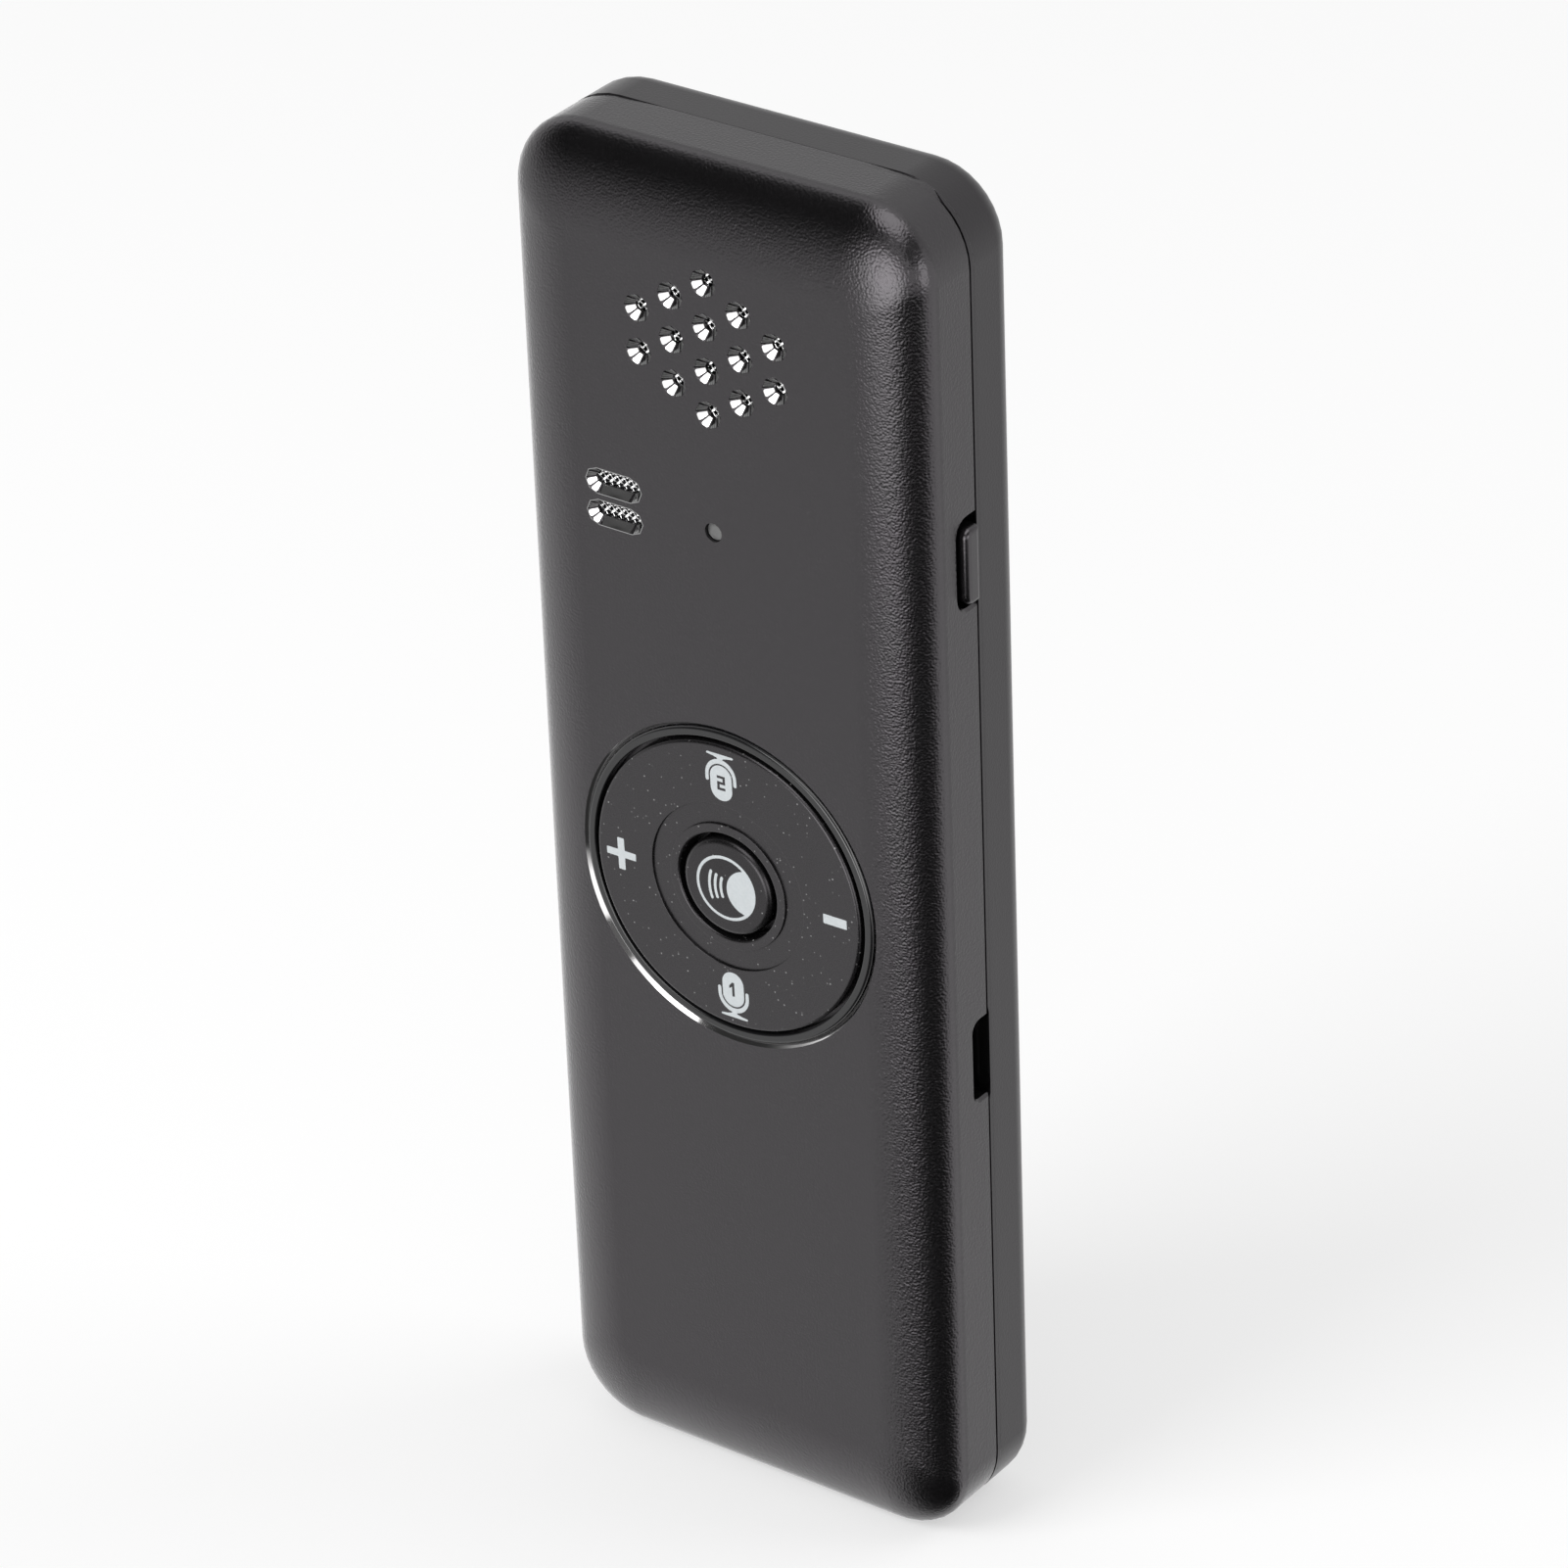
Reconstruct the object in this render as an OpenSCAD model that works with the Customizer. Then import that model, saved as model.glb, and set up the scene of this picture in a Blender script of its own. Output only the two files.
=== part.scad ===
// Handheld voice translator: a slim bar with a speaker grille, two microphone slots,
// an indicator light, a four-way rocker disc around a centre button, a power key and a
// charging port on the right side.
//
// It stands on its lower end: x runs across, z up, and y from the front face to the back.
// Inside the modules a depth counts from the front face, and in_body() sets it in place.

/* [Body] */
// Width of the body, from side to side
body_w = 40.7; // [40:0.1:52]
// Height of the body, from end to end
body_h = 125; // [120:0.5:150]
// Thickness of the body, from front to back
body_t = 14; // [13.8:0.1:18]
// Radius of the four corners, seen from the front
corner_r = 6.6; // [5:0.1:9]
// Thickness of the side walls of both covers
side_wall = 1.2; // [0.9:0.05:1.4]
// Gap of the parting line between the two covers
parting_gap = 0.25; // [0.15:0.05:0.4]
// Size of the broken edge on both sides of the parting line
edge_break = 0.2; // [0.1:0.05:0.3]

/* [Front cover] */
// Depth of the front cover, from the front face to the parting line
front_depth = 7.8; // [7.6:0.1:8.2]
// Thickness of the front face
front_wall = 0.9; // [0.8:0.05:1]
// Width of the soft edge along the two long sides
soft_side = 6.8; // [4:0.1:7.5]
// Width of the soft edge along the two ends
soft_end = 8.5; // [4:0.1:9]
// Depth of the soft edge
soft_depth = 3.5; // [2.5:0.1:4]
// Corner radius that is left on the flat part of the front face
soft_tip_r = 1.5; // [1:0.1:3]

/* [Rear cover] */
// Thickness of the back face
rear_wall = 1; // [0.8:0.05:1.2]
// Radius of the edge around the back face
rear_edge = 2.5; // [1.5:0.1:3]
// Height of the tongue that enters the front cover
tongue_h = 1.4; // [1.3:0.1:1.5]
// Thickness of the tongue
tongue_t = 0.8; // [0.6:0.05:0.9]
// Clearance between the tongue and the front cover's wall
tongue_gap = 0.15; // [0.1:0.05:0.2]
// Length of each snap
snap_l = 6; // [4:0.5:8]
// How far each snap stands into the front cover's wall
snap_bite = 0.25; // [0.2:0.05:0.35]
// Height of each snap, from front to back
snap_h = 0.5; // [0.4:0.05:0.5]
// Clearance around each snap
snap_gap = 0.1; // [0.05:0.01:0.12]

/* [Speaker grille] */
// Distance from the top end to the centre of the grille
grille_drop = 15.6; // [15:0.1:18]
// Distance between neighbouring holes
grille_pitch = 3.87; // [3.4:0.01:4]
// Diameter of a hole at the front face, over the corners of its facets
hole_rim_d = 2.5; // [2:0.05:2.8]
// Diameter of the bore at the bottom of a hole
hole_bore_d = 1.2; // [0.8:0.05:1.4]
// Depth of the faceted countersinks of the holes and the slots
facet_depth = 0.65; // [0.4:0.05:0.7]
// Number of facets around a hole
hole_facets = 8; // [6:1:12]

/* [Microphone slots] */
// Distance from the top end to the middle between the two slots
slots_drop = 31.9; // [30:0.1:34]
// Distance of the slots from the middle of the body
slots_x = 9.92; // [9:0.1:11]
// Distance between the two slots
slots_pitch = 2.87; // [2.8:0.01:3.2]
// Length of a slot at the front face
slot_l = 5.57; // [4:0.01:6]
// Width of a slot at the front face
slot_w = 2.25; // [2:0.05:2.4]
// Width of a slot at the bottom of its countersink
slot_bore_w = 1.15; // [0.8:0.05:1.3]

/* [Indicator light] */
// Distance from the top end to the light
light_drop = 32; // [31:0.1:34]
// Diameter of the hole for the light
light_d = 1.66; // [1.2:0.02:2]
// How far the light pipe sits behind the front face
light_recess = 0.35; // [0.2:0.05:0.4]

/* [Keypad] */
// Height of the keypad's centre above the lower end
keypad_z = 60; // [58:0.5:66]
// Radius of the bore of the keypad opening
opening_r = 14.55; // [14.5:0.05:14.8]
// Width and depth of the polished chamfer around the opening
opening_chamfer = 0.38; // [0.2:0.02:0.45]
// Width of the flat top of the bezel ring
bezel_flat = 0.42; // [0.3:0.02:0.5]
// Width of the gap between the bezel ring and the rocker disc
disc_gap = 0.35; // [0.3:0.05:0.45]
// Radius of the rocker disc
disc_r = 13.37; // [12.8:0.01:13.4]
// How far the rocker disc stands in front of the front face
disc_proud = 0.15; // [0:0.05:0.4]
// Radius of the disc's outer edge round
disc_edge = 0.3; // [0.1:0.05:0.4]
// Inner radius of the shallow ring groove in the disc
groove_in_r = 5.85; // [5.6:0.05:6.5]
// Outer radius of the ring groove
groove_out_r = 7.7; // [7:0.05:8.2]
// Depth of the ring groove
groove_depth = 0.2; // [0.1:0.05:0.3]
// Radius of the disc's centre bore
disc_bore_r = 4.95; // [4.8:0.05:5.1]
// Largest tilt of the rocker disc, in degrees
disc_tilt = 1.2; // [0.8:0.1:1.2]
// Radius of the centre button
button_r = 4.45; // [3.8:0.05:4.5]
// How far the centre button stands in front of the front face
button_proud = 0.4; // [0.2:0.05:0.6]
// Radius of the button's edge round
button_edge = 0.5; // [0.3:0.05:0.6]
// Rise of the button's domed face in its middle
button_crown = 0.08; // [0:0.02:0.1]
// Travel of the centre button and of the power key
travel = 0.3; // [0.2:0.05:0.3]
// Distance of the four outer switches from the keypad's centre
switch_ring_r = 9.5; // [9:0.1:10]

/* [Power key] */
// Distance from the top end to the middle of the power key
key_drop = 31.93; // [30:0.1:34]
// Length of the key
key_l = 6.9; // [5:0.1:8]
// Thickness of the key, from front to back
key_t = 1.8; // [1.4:0.1:2]
// How far the key stands out of the side wall
key_proud = 0.7; // [0.5:0.05:1]
// Gap between the key and its notch at the two ends
key_end_gap = 0.6; // [0.3:0.05:0.8]
// Gap between the key and its notch at the front
key_front_gap = 0.4; // [0.3:0.05:0.6]
// Corner radius of the key's notch
key_notch_r = 1.35; // [0.8:0.05:1.6]
// Chamfer around the outer edge of the key's notch and of the port's opening
notch_chamfer = 0.25; // [0.1:0.05:0.3]

/* [Charging port] */
// Height of the middle of the port above the lower end
port_z = 46.5; // [44:0.5:52]
// Length of the port's opening in the side wall
port_l = 7.53; // [7.2:0.01:8.4]
// Width of the port's opening
port_w = 2.2; // [2:0.05:2.5]
// Corner radius of the port's opening
port_r = 0.8; // [0.4:0.05:1]
// Width of the receptacle's metal shell
usb_w = 7.5; // [7.5:0.1:7.5]
// Height of the receptacle's metal shell
usb_t = 2.5; // [2.4:0.05:2.5]
// Length of the receptacle's metal shell
usb_l = 5.3; // [5:0.1:5.6]
// How far the receptacle's mouth lies behind the outer wall
usb_recess = 1.95; // [1.7:0.05:2.4]

/* [Circuit board] */
// Depth of the board's front face behind the front face of the body
board_y = 4.6; // [4.5:0.05:4.8]
// Thickness of the board
board_t = 1; // [0.8:0.1:1]
// Gap between the board and the covers' side walls
board_gap = 0.95; // [0.8:0.05:1.2]
// Height of the board's lower edge above the lower end
board_z = 5; // [4:0.5:8]
// Height of the four screw bosses' lower pair above the lower end
boss_low_z = 10; // [9:0.5:14]
// Distance from the top end to the upper pair of screw bosses
boss_drop = 39; // [38:0.5:44]
// Distance of the screw bosses from the middle of the body
boss_x = 13.5; // [13:0.1:14]
// Radius of a screw boss
boss_r = 1.9; // [1.6:0.1:2.1]
// Radius of a screw's shank
screw_r = 0.8; // [0.7:0.05:0.9]
// Radius of a screw's head
screw_head_r = 1.5; // [1.3:0.1:1.7]
// Height of a screw's head
screw_head_h = 0.8; // [0.6:0.1:1]

/* [Speaker and battery] */
// Diameter of the speaker
speaker_d = 18; // [17.6:0.1:18.4]
// Depth of the speaker, from its rim to the back of its magnet
speaker_t = 4; // [3.5:0.1:4.5]
// Thickness of the foam ring between the speaker and the front cover
gasket_t = 0.5; // [0.4:0.1:0.8]
// Thickness of the woven mesh behind the sound openings
mesh_t = 0.2; // [0.15:0.05:0.25]
// Width of the battery
battery_w = 34; // [28:0.5:35]
// Height of the battery
battery_h = 60; // [40:1:64]
// Thickness of the battery
battery_t = 4.5; // [3.5:0.1:4.6]
// Height of the battery's lower edge above the lower end
battery_z = 10; // [6:0.5:14]
// Thickness of the adhesive tape behind the battery
tape_t = 0.2; // [0.1:0.05:0.3]

/* [Hidden] */

// Clearance of pieces that are fitted together and don't move
fit = 0.05;
// How deep a rib or boss is sunk into the wall that carries it
weld = 0.3;
// Clearance of the tongue around pieces that reach into it
relief_gap = 0.4;
// Smallest gap to a piece that moves, at the end of its travel
rest_gap = 0.05;
// How far a cut runs past the surface that it opens
past = 1;
// Steps along a soft edge, and along each corner of an outline
edge_steps = 12;
corner_steps = 9;
// Roundness of bores and of turned pieces
$fn = 64;
round_fine = 128;

// Depths and heights that several pieces share
rear_y = front_depth + parting_gap;
rear_in_y = body_t - rear_wall;
snap_y = rear_y - tongue_h + 0.2 + snap_h / 2;
snap_low_z = boss_low_z + 2 * (snap_l + 1);
board_back = board_y + board_t;
speaker_z = body_h - grille_drop;
slots_z = body_h - slots_drop;
light_z = body_h - light_drop;
key_z = body_h - key_drop;
inner_x = body_w / 2 - side_wall;
tongue_in_x = inner_x - tongue_gap - tongue_t;

// Grille: columns of holes on a regular triangle pattern
grille_columns = [2, 3, 4, 3, 2];
column_pitch = grille_pitch * sin(60);
grille_spots = [
    for (c = [0:len(grille_columns) - 1])
        for (k = [0:grille_columns[c] - 1])
            [
                (c - (len(grille_columns) - 1) / 2) * column_pitch,
                speaker_z + (k - (grille_columns[c] - 1) / 2) * grille_pitch
            ]
];
slot_heights = [slots_z + slots_pitch / 2, slots_z - slots_pitch / 2];

// Keypad: the bezel ring sits in the opening, and the disc's flange lies behind it
bezel_neck_r = opening_r - fit;
bezel_in_r = disc_r + disc_gap;
bezel_break = 0.12;
bezel_top_r = bezel_in_r + bezel_break + bezel_flat;
bezel_flange_r = opening_r + 1.05;
bezel_flange_t = 0.5;
pocket_r = bezel_flange_r + 0.2;
pocket_depth = 3;
disc_flange_r = bezel_neck_r - 0.45;
// Both rocking axes at once tilt the disc this far
disc_swing = sqrt(2) * disc_tilt;
disc_flange_y = front_wall + disc_flange_r * sin(disc_swing) + 1.5 * rest_gap;
disc_flange_t = 0.5;
bezel_lip_r = disc_flange_r + 0.25;
disc_back = disc_flange_y + disc_flange_t;
bore_edge = 0.2;
hub_r = groove_in_r + 0.35;
hub_back = disc_flange_y + 0.1;

// Keypad: rubber mat, plungers and the low switches on the board
mat_t = 0.5;
mat_r = disc_flange_r - 1.05;
mat_y = disc_back + mat_r * sin(disc_tilt) + 3 * rest_gap;
mat_in_r = button_r + 1.45;
plunger_r = 1.5;
post_r = 1.2;
post_gap = 0.6;
ridge_w = 1;
ridge_l = 4;
ridge_gap = 0.03;
foot_x = mat_r - 0.8;
switch_t = 0.8;
switch_w = 3.6;
switch_body_t = 0.45;
dome_r = 1.3;
switch_top = board_y - switch_t;
plunger_tip = switch_top - travel;
button_flange_y = hub_back + 0.45;
button_flange_t = 0.35;
button_flange_r = button_r + 0.95;
button_tip = plunger_tip - rest_gap;

// Power key: its middle lies level with the side switch on the board
side_switch_t = 1.6;
side_switch_w = 4.2;
side_switch_h = 5.1;
side_switch_tip = 1;
key_y = board_back + side_switch_t / 2;
key_notch_y = key_y - key_t / 2 - key_front_gap;
key_notch_l = key_l + 2 * key_end_gap;
key_round = 0.3;
key_corner = 0.5;
key_flange_t = 0.4;
key_flange_over = 0.5;
key_flange_gap = 0.2;
key_flange_x = inner_x - key_flange_gap - key_flange_t;
key_nub = 0.4;
key_nub_size = [1, 2];
side_tip_size = [0.8, 1.8];
key_nub_x = key_flange_x - key_nub;
side_switch_x = key_nub_x - travel - rest_gap;

// Charging port: the opening is level with the receptacle on the board's back
usb_y = board_back + usb_t / 2;
usb_wall = 0.3;
usb_mouth_x = body_w / 2 - usb_recess;
usb_taper = 1.1;
usb_block = 1;
usb_tongue_size = [0.6, 3.9];
usb_tongue_back = 0.8;
port_y = usb_y - port_w / 2;

// Screws: length of the shank, width of the cross in the head, play in the board
screw_l = 4.1;
screw_slot = 0.3;
screw_gap = 0.2;

// Board, speaker and battery
board_top = speaker_z - speaker_d / 2 - 0.6;
board_half_w = inner_x - board_gap;
board_corner = 2;
board_notch = key_l / 2 + key_flange_over + 0.6;
boss_top_z = body_h - boss_drop;
boss_spots = [for (sx = [-1, 1]) for (z = [boss_low_z, boss_top_z]) [sx * boss_x, z]];
speaker_y = front_wall + mesh_t + gasket_t;
speaker_collar = 0.8;
speaker_collar_h = 2.5;
speaker_collar_r = speaker_d / 2 + 0.4;
basket_rim = 1;
basket_wall = 0.4;
magnet_inset = 3.35;
magnet_r = speaker_d / 2 - magnet_inset;
magnet_t = 2;
cap_r = 3;
cap_h = 0.6;
film_t = 0.15;
roll_r = 0.4;
mic_t = 1;
mic_w = 3.5;
mic_h = 2.6;
mic_port_r = 0.4;
boot_w = slot_l + 1.8;
boot_h = slots_pitch + slot_w + 1.8;
boot_r = 0.6;
led_t = 0.6;
led_size = [1.6, 0.8];
led_gap = 0.3;
pipe_flange = 0.6;
pipe_flange_t = 0.5;
battery_y = rear_in_y - tape_t - battery_t;
rail_t = 0.8;
rail_gap = 0.3;
rail_h = battery_t - 0.8;
rail_short = 10;
shield_t = 1.4;
shield_w = 18;
shield_h = 15;
battery_top = battery_z + battery_h;
shield_z = battery_top + 4;
shield_r = 0.6;
memory_size = [8, 6];
memory_t = 0.9;
memory_z = (board_z + shield_z - shield_h / 2) / 2;
plug_size = [4, 5];
plug_t = 1.5;
plug_x = -board_half_w + plug_size[0] / 2 + 1;
pad_size = [14, 3.5];
pad_z = battery_top - 8;
antenna_size = [7, 2];
antenna_t = 1;
battery_r = 1.5;

// Colours
c_cover = [0.13, 0.13, 0.14];
c_gloss = [0.06, 0.06, 0.07];
c_disc = [0.17, 0.17, 0.18];
c_rubber = [0.30, 0.30, 0.32];
c_steel = [0.72, 0.72, 0.74];
c_board = [0.05, 0.25, 0.16];
c_chip = [0.10, 0.10, 0.11];
c_light = [0.62, 0.62, 0.64];
c_foam = [0.22, 0.22, 0.24];
c_battery = [0.66, 0.67, 0.70];
c_white = [0.90, 0.90, 0.88];

// ---------------------------------------------------------------- helpers

// Sets a piece in place: depth 0 is the front face, and the body is centred on y
module in_body() {
    translate([0, -body_t / 2, 0]) children();
}

// Outline in x and z, made solid between two depths
module slab(depth, thick) {
    translate([0, depth + thick, 0]) rotate([90, 0, 0]) linear_extrude(thick) children();
}

// Outline in y and z, made solid along x
module across(x, length) {
    translate([x, 0, 0]) rotate([90, 0, 90]) linear_extrude(length) children();
}

// Profile of [radius, depth] points, turned about an axis along the depth
module turned(x, z, points) {
    translate([x, 0, z]) rotate([-90, 0, 0]) rotate_extrude($fn = round_fine) polygon(points);
}

// Round bar along the depth
module bar(x, z, r, depth, length) {
    translate([x, depth, z]) rotate([-90, 0, 0]) cylinder(r = r, h = length);
}

// Corner points of a rectangle with round corners about its middle
function round_points(w, h, r, steps) = [
    for (q = [0:3])
        for (i = [0:steps])
            let (a = 90 * (q + i / steps), sx = q == 0 || q == 3 ? 1 : -1, sz = q < 2 ? 1 : -1)
            [sx * (w / 2 - r) + r * cos(a), sz * (h / 2 - r) + r * sin(a)]
];

// Rectangle with round corners about its middle
module rounded(w, h, r, steps = 5) {
    polygon(round_points(w, h, r, steps));
}

// Points of an arc, for profiles
function arc(cx, cy, r, from, to, steps = 6) =
    [for (i = [0:steps]) let (a = from + (to - from) * i / steps) [cx + r * cos(a), cy + r * sin(a)]];

// The body's outline, drawn in by an inset
module body_outline(inset) {
    translate([0, body_h / 2]) rounded(body_w - 2 * inset, body_h - 2 * inset,
        max(corner_r - inset, 0.5), corner_steps);
}

// Ring that follows the body's outline between two insets
module body_ring(depth, thick, outer, inner) {
    difference() {
        slab(depth, thick) body_outline(outer);
        slab(depth - past, thick + 2 * past) body_outline(inner);
    }
}

// One ring of a soft form: the outline at one depth
function ring(w, h, r, y) =
    [for (p = round_points(w, h, r, corner_steps)) [p[0], y, body_h / 2 + p[1]]];

// Solid through a list of rings, which are in the order of their depth
module loft(rings) {
    n = len(rings[0]);
    last = len(rings) - 1;
    polyhedron(
        points = [for (one = rings) each one],
        faces = concat(
            [[for (k = [n - 1:-1:0]) k]],
            [[for (k = [0:n - 1]) last * n + k]],
            [
                for (i = [0:last - 1])
                    for (k = [0:n - 1])
                        let (a = i * n + k, b = i * n + (k + 1) % n)
                        each [[a, b, b + n], [a, b + n, a + n]]
            ]
        )
    );
}

// Soft-edged form: its outline draws in along a quarter ellipse towards the flat face
module soft_form(inset, side, end, depth, tip_r, flat_y, open_y, open_break) {
    dir = open_y > flat_y ? 1 : -1;
    w = body_w - 2 * inset;
    h = body_h - 2 * inset;
    r = corner_r - inset;
    soft = [
        for (i = [0:edge_steps])
            let (a = 90 * i / edge_steps, draw = 1 - sin(a))
            ring(w - 2 * side * draw, h - 2 * end * draw, r + (tip_r - r) * draw,
                flat_y + dir * depth * (1 - cos(a)))
    ];
    straight = open_break > 0
        ? [ring(w, h, r, open_y - dir * open_break),
            ring(w - 2 * open_break, h - 2 * open_break, r - open_break, open_y)]
        : [ring(w, h, r, open_y)];
    all = concat(soft, straight);
    loft(dir > 0 ? all : [for (i = [len(all) - 1:-1:0]) all[i]]);
}

// ---------------------------------------------------------------- covers

// Eight-sided countersink and round bore of one sound hole
module sound_hole(spot) {
    lead = (hole_rim_d - hole_bore_d) / 2 / facet_depth * past;
    translate([spot[0], -past, spot[1]]) rotate([-90, 0, 0])
        cylinder(r1 = hole_rim_d / 2 + lead, r2 = hole_bore_d / 2,
            h = facet_depth + past, $fn = hole_facets);
    bar(spot[0], spot[1], hole_bore_d / 2 * cos(180 / hole_facets), 0, front_wall + past);
}

// Faceted countersink and through slot of one microphone slot
module mic_slot(z) {
    half = (slot_l - slot_w) / 2;
    lead = (slot_w - slot_bore_w) / 2 / facet_depth * past;
    hull()
        for (side = [-1, 1])
            translate([side * half - slots_x, -past, z]) rotate([-90, 0, 0])
                cylinder(r1 = slot_w / 2 + lead, r2 = slot_bore_w / 2,
                    h = facet_depth + past, $fn = hole_facets);
    slab(0, front_wall + past)
        translate([-slots_x, z]) stadium(2 * half, slot_bore_w * cos(180 / hole_facets));
}

// Straight slot outline with round ends, from one end's centre to the other
module stadium(length, width) {
    square([length, width], center = true);
    for (side = [-1, 1]) translate([side * length / 2, 0]) circle(d = width);
}

// Round opening for the keypad, with its chamfer, and the pocket behind it
module keypad_opening() {
    reach = opening_chamfer + past;
    translate([0, -past, keypad_z]) rotate([-90, 0, 0])
        cylinder(r1 = opening_r + reach, r2 = opening_r, h = reach, $fn = round_fine);
    bar(0, keypad_z, opening_r, -past, front_wall + 2 * past, $fn = round_fine);
    bar(0, keypad_z, pocket_r, front_wall, pocket_depth, $fn = round_fine);
}

// Notch in the side wall's edge, open towards the parting line, with a chamfer outside
module side_notch(y, z, length, r) {
    depth = front_depth - y + 2 * past;
    wide = past + notch_chamfer;
    across(inner_x - past, side_wall + 2 * past)
        translate([y + depth / 2, z]) rounded(depth, length, r);
    hull() {
        across(body_w / 2 - notch_chamfer, notch_chamfer)
            translate([y + depth / 2, z]) rounded(depth, length, r);
        across(body_w / 2 + past, notch_chamfer)
            translate([y + depth / 2, z]) rounded(depth + 2 * wide, length + 2 * wide, r + wide);
    }
}

// Snaps of the rear cover's tongue, or their recesses in the front cover's walls
module snaps(depth, back, height, length) {
    for (side = [-1, 1])
        for (z = [snap_low_z, (snap_low_z + speaker_z) / 2, speaker_z])
            translate([side * (inner_x + (depth - back) / 2), snap_y, z])
                cube([depth + back, height, length], center = true);
}

module front_cover() {
    in_body() color(c_cover) difference() {
        union() {
            difference() {
                soft_form(0, soft_side, soft_end, soft_depth, soft_tip_r, 0, front_depth, edge_break);
                soft_form(side_wall, soft_side, soft_end, soft_depth - side_wall + front_wall,
                    soft_tip_r, front_wall, front_depth + past, 0);
            }
            for (spot = boss_spots)
                bar(spot[0], spot[1], boss_r, front_wall - weld,
                    board_y - front_wall + weld);
            difference() {
                bar(0, speaker_z, speaker_collar_r + speaker_collar, front_wall - weld,
                    speaker_collar_h + weld);
                bar(0, speaker_z, speaker_collar_r, 0, speaker_collar_h + front_wall + past);
            }
        }
        for (spot = grille_spots) sound_hole(spot);
        for (z = slot_heights) mic_slot(z);
        bar(0, light_z, light_d / 2, -past, front_wall + 2 * past);
        keypad_opening();
        side_notch(key_notch_y, key_z, key_notch_l, key_notch_r);
        side_notch(port_y, port_z, port_l, port_r);
        for (spot = boss_spots)
            bar(spot[0], spot[1], screw_r + fit, front_wall + fit, board_y);
        snaps(snap_bite + snap_gap, past, snap_h + 2 * snap_gap, snap_l + 2 * snap_gap);
        // Flat seats for the speaker's foam ring and for the microphones' rubber block
        bar(0, speaker_z, speaker_collar_r, front_wall, speaker_collar_h);
        slab(front_wall, speaker_collar_h) translate([-slots_x, slots_z])
            rounded(boot_w + 2 * fit, boot_h + 2 * fit, boot_r + fit);
    }
}

module rear_cover() {
    root_in = side_wall - weld;
    tongue_out = side_wall + tongue_gap;
    in_body() color(c_cover) difference() {
        union() {
            difference() {
                soft_form(0, rear_edge, rear_edge, rear_edge, corner_r - rear_edge,
                    body_t, rear_y, edge_break);
                soft_form(side_wall, rear_edge - side_wall, rear_edge - side_wall,
                    rear_edge - side_wall, corner_r - rear_edge, rear_in_y, rear_y - past, 0);
            }
            body_ring(rear_y, tongue_h, root_in, tongue_out + tongue_t);
            body_ring(rear_y - tongue_h, 2 * tongue_h, tongue_out, tongue_out + tongue_t);
            snaps(snap_bite, tongue_gap + fit, snap_h, snap_l);
            for (side = [-1, 1])
                translate([side * (battery_w / 2 + rail_gap + rail_t / 2),
                    rear_in_y - (rail_h - weld) / 2, battery_z + battery_h / 2])
                    cube([rail_t, rail_h + weld, battery_h - rail_short], center = true);
        }
        // Room for the receptacle and for the power key's flange
        tongue_relief(port_z, usb_w / 2 + relief_gap, usb_y + usb_t / 2 + relief_gap);
        tongue_relief(key_z, key_l / 2 + key_flange_over + 2 * relief_gap,
            key_y + key_t / 2 + key_flange_over + relief_gap);
    }
}

// Cut through the rear cover's tongue on the right side, back to a given depth
module tongue_relief(z, half, to_y) {
    from_y = rear_y - tongue_h - past;
    translate([tongue_in_x - past, from_y, z - half])
        cube([inner_x - tongue_in_x + past, to_y - from_y, 2 * half]);
}

// ---------------------------------------------------------------- keypad

module keypad_bezel() {
    in_body() color(c_gloss) turned(0, keypad_z, [
        [bezel_in_r + bezel_break, 0],
        [bezel_top_r, 0],
        [bezel_neck_r, bezel_neck_r - bezel_top_r],
        [bezel_neck_r, front_wall + fit],
        [bezel_flange_r, front_wall + fit],
        [bezel_flange_r, front_wall + fit + bezel_flange_t],
        [bezel_lip_r, front_wall + fit + bezel_flange_t],
        [bezel_lip_r, front_wall],
        [bezel_in_r, front_wall],
        [bezel_in_r, bezel_break]
    ]);
}

module nav_disc() {
    top = -disc_proud;
    in_body() color(c_disc) union() {
        turned(0, keypad_z, concat(
            arc(disc_bore_r + bore_edge, top + bore_edge, bore_edge, 180, 270, 4),
            [
                [groove_in_r, top],
                [groove_in_r, top + groove_depth],
                [groove_out_r, top + groove_depth],
                [groove_out_r, top]
            ],
            arc(disc_r - disc_edge, top + disc_edge, disc_edge, 270, 360),
            [
                [disc_r, disc_flange_y],
                [disc_flange_r, disc_flange_y],
                [disc_flange_r, disc_back],
                [hub_r, disc_back],
                [hub_r, hub_back],
                [disc_bore_r, hub_back]
            ]
        ));
        // Posts that press the left and the right switch
        for (side = [-1, 1])
            bar(side * switch_ring_r, keypad_z, post_r, disc_back - fit,
                plunger_tip - disc_back + fit);
    }
}

// Rubber mat: the disc rocks sideways on its front ridge, and it rocks up and down on two feet
module keypad_mat() {
    middle = mat_y + mat_t / 2;
    in_body() color(c_rubber) difference() {
        union() {
            bar(0, keypad_z, mat_r, mat_y, mat_t, $fn = round_fine);
            for (side = [-1, 1]) {
                bar(0, keypad_z + side * switch_ring_r, plunger_r, middle, plunger_tip - middle);
                translate([-ridge_w / 2, disc_back + ridge_gap,
                    keypad_z + side * switch_ring_r - ridge_l / 2])
                    cube([ridge_w, middle - disc_back - ridge_gap, ridge_l]);
                translate([side * foot_x - ridge_w / 2, middle, keypad_z - ridge_w / 2])
                    cube([ridge_w, board_y - rest_gap - middle, ridge_w]);
            }
        }
        bar(0, keypad_z, mat_in_r, mat_y - past, mat_t + 2 * past);
        for (side = [-1, 1])
            bar(side * switch_ring_r, keypad_z, post_r + post_gap, mat_y - past, mat_t + 2 * past);
    }
}

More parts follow.
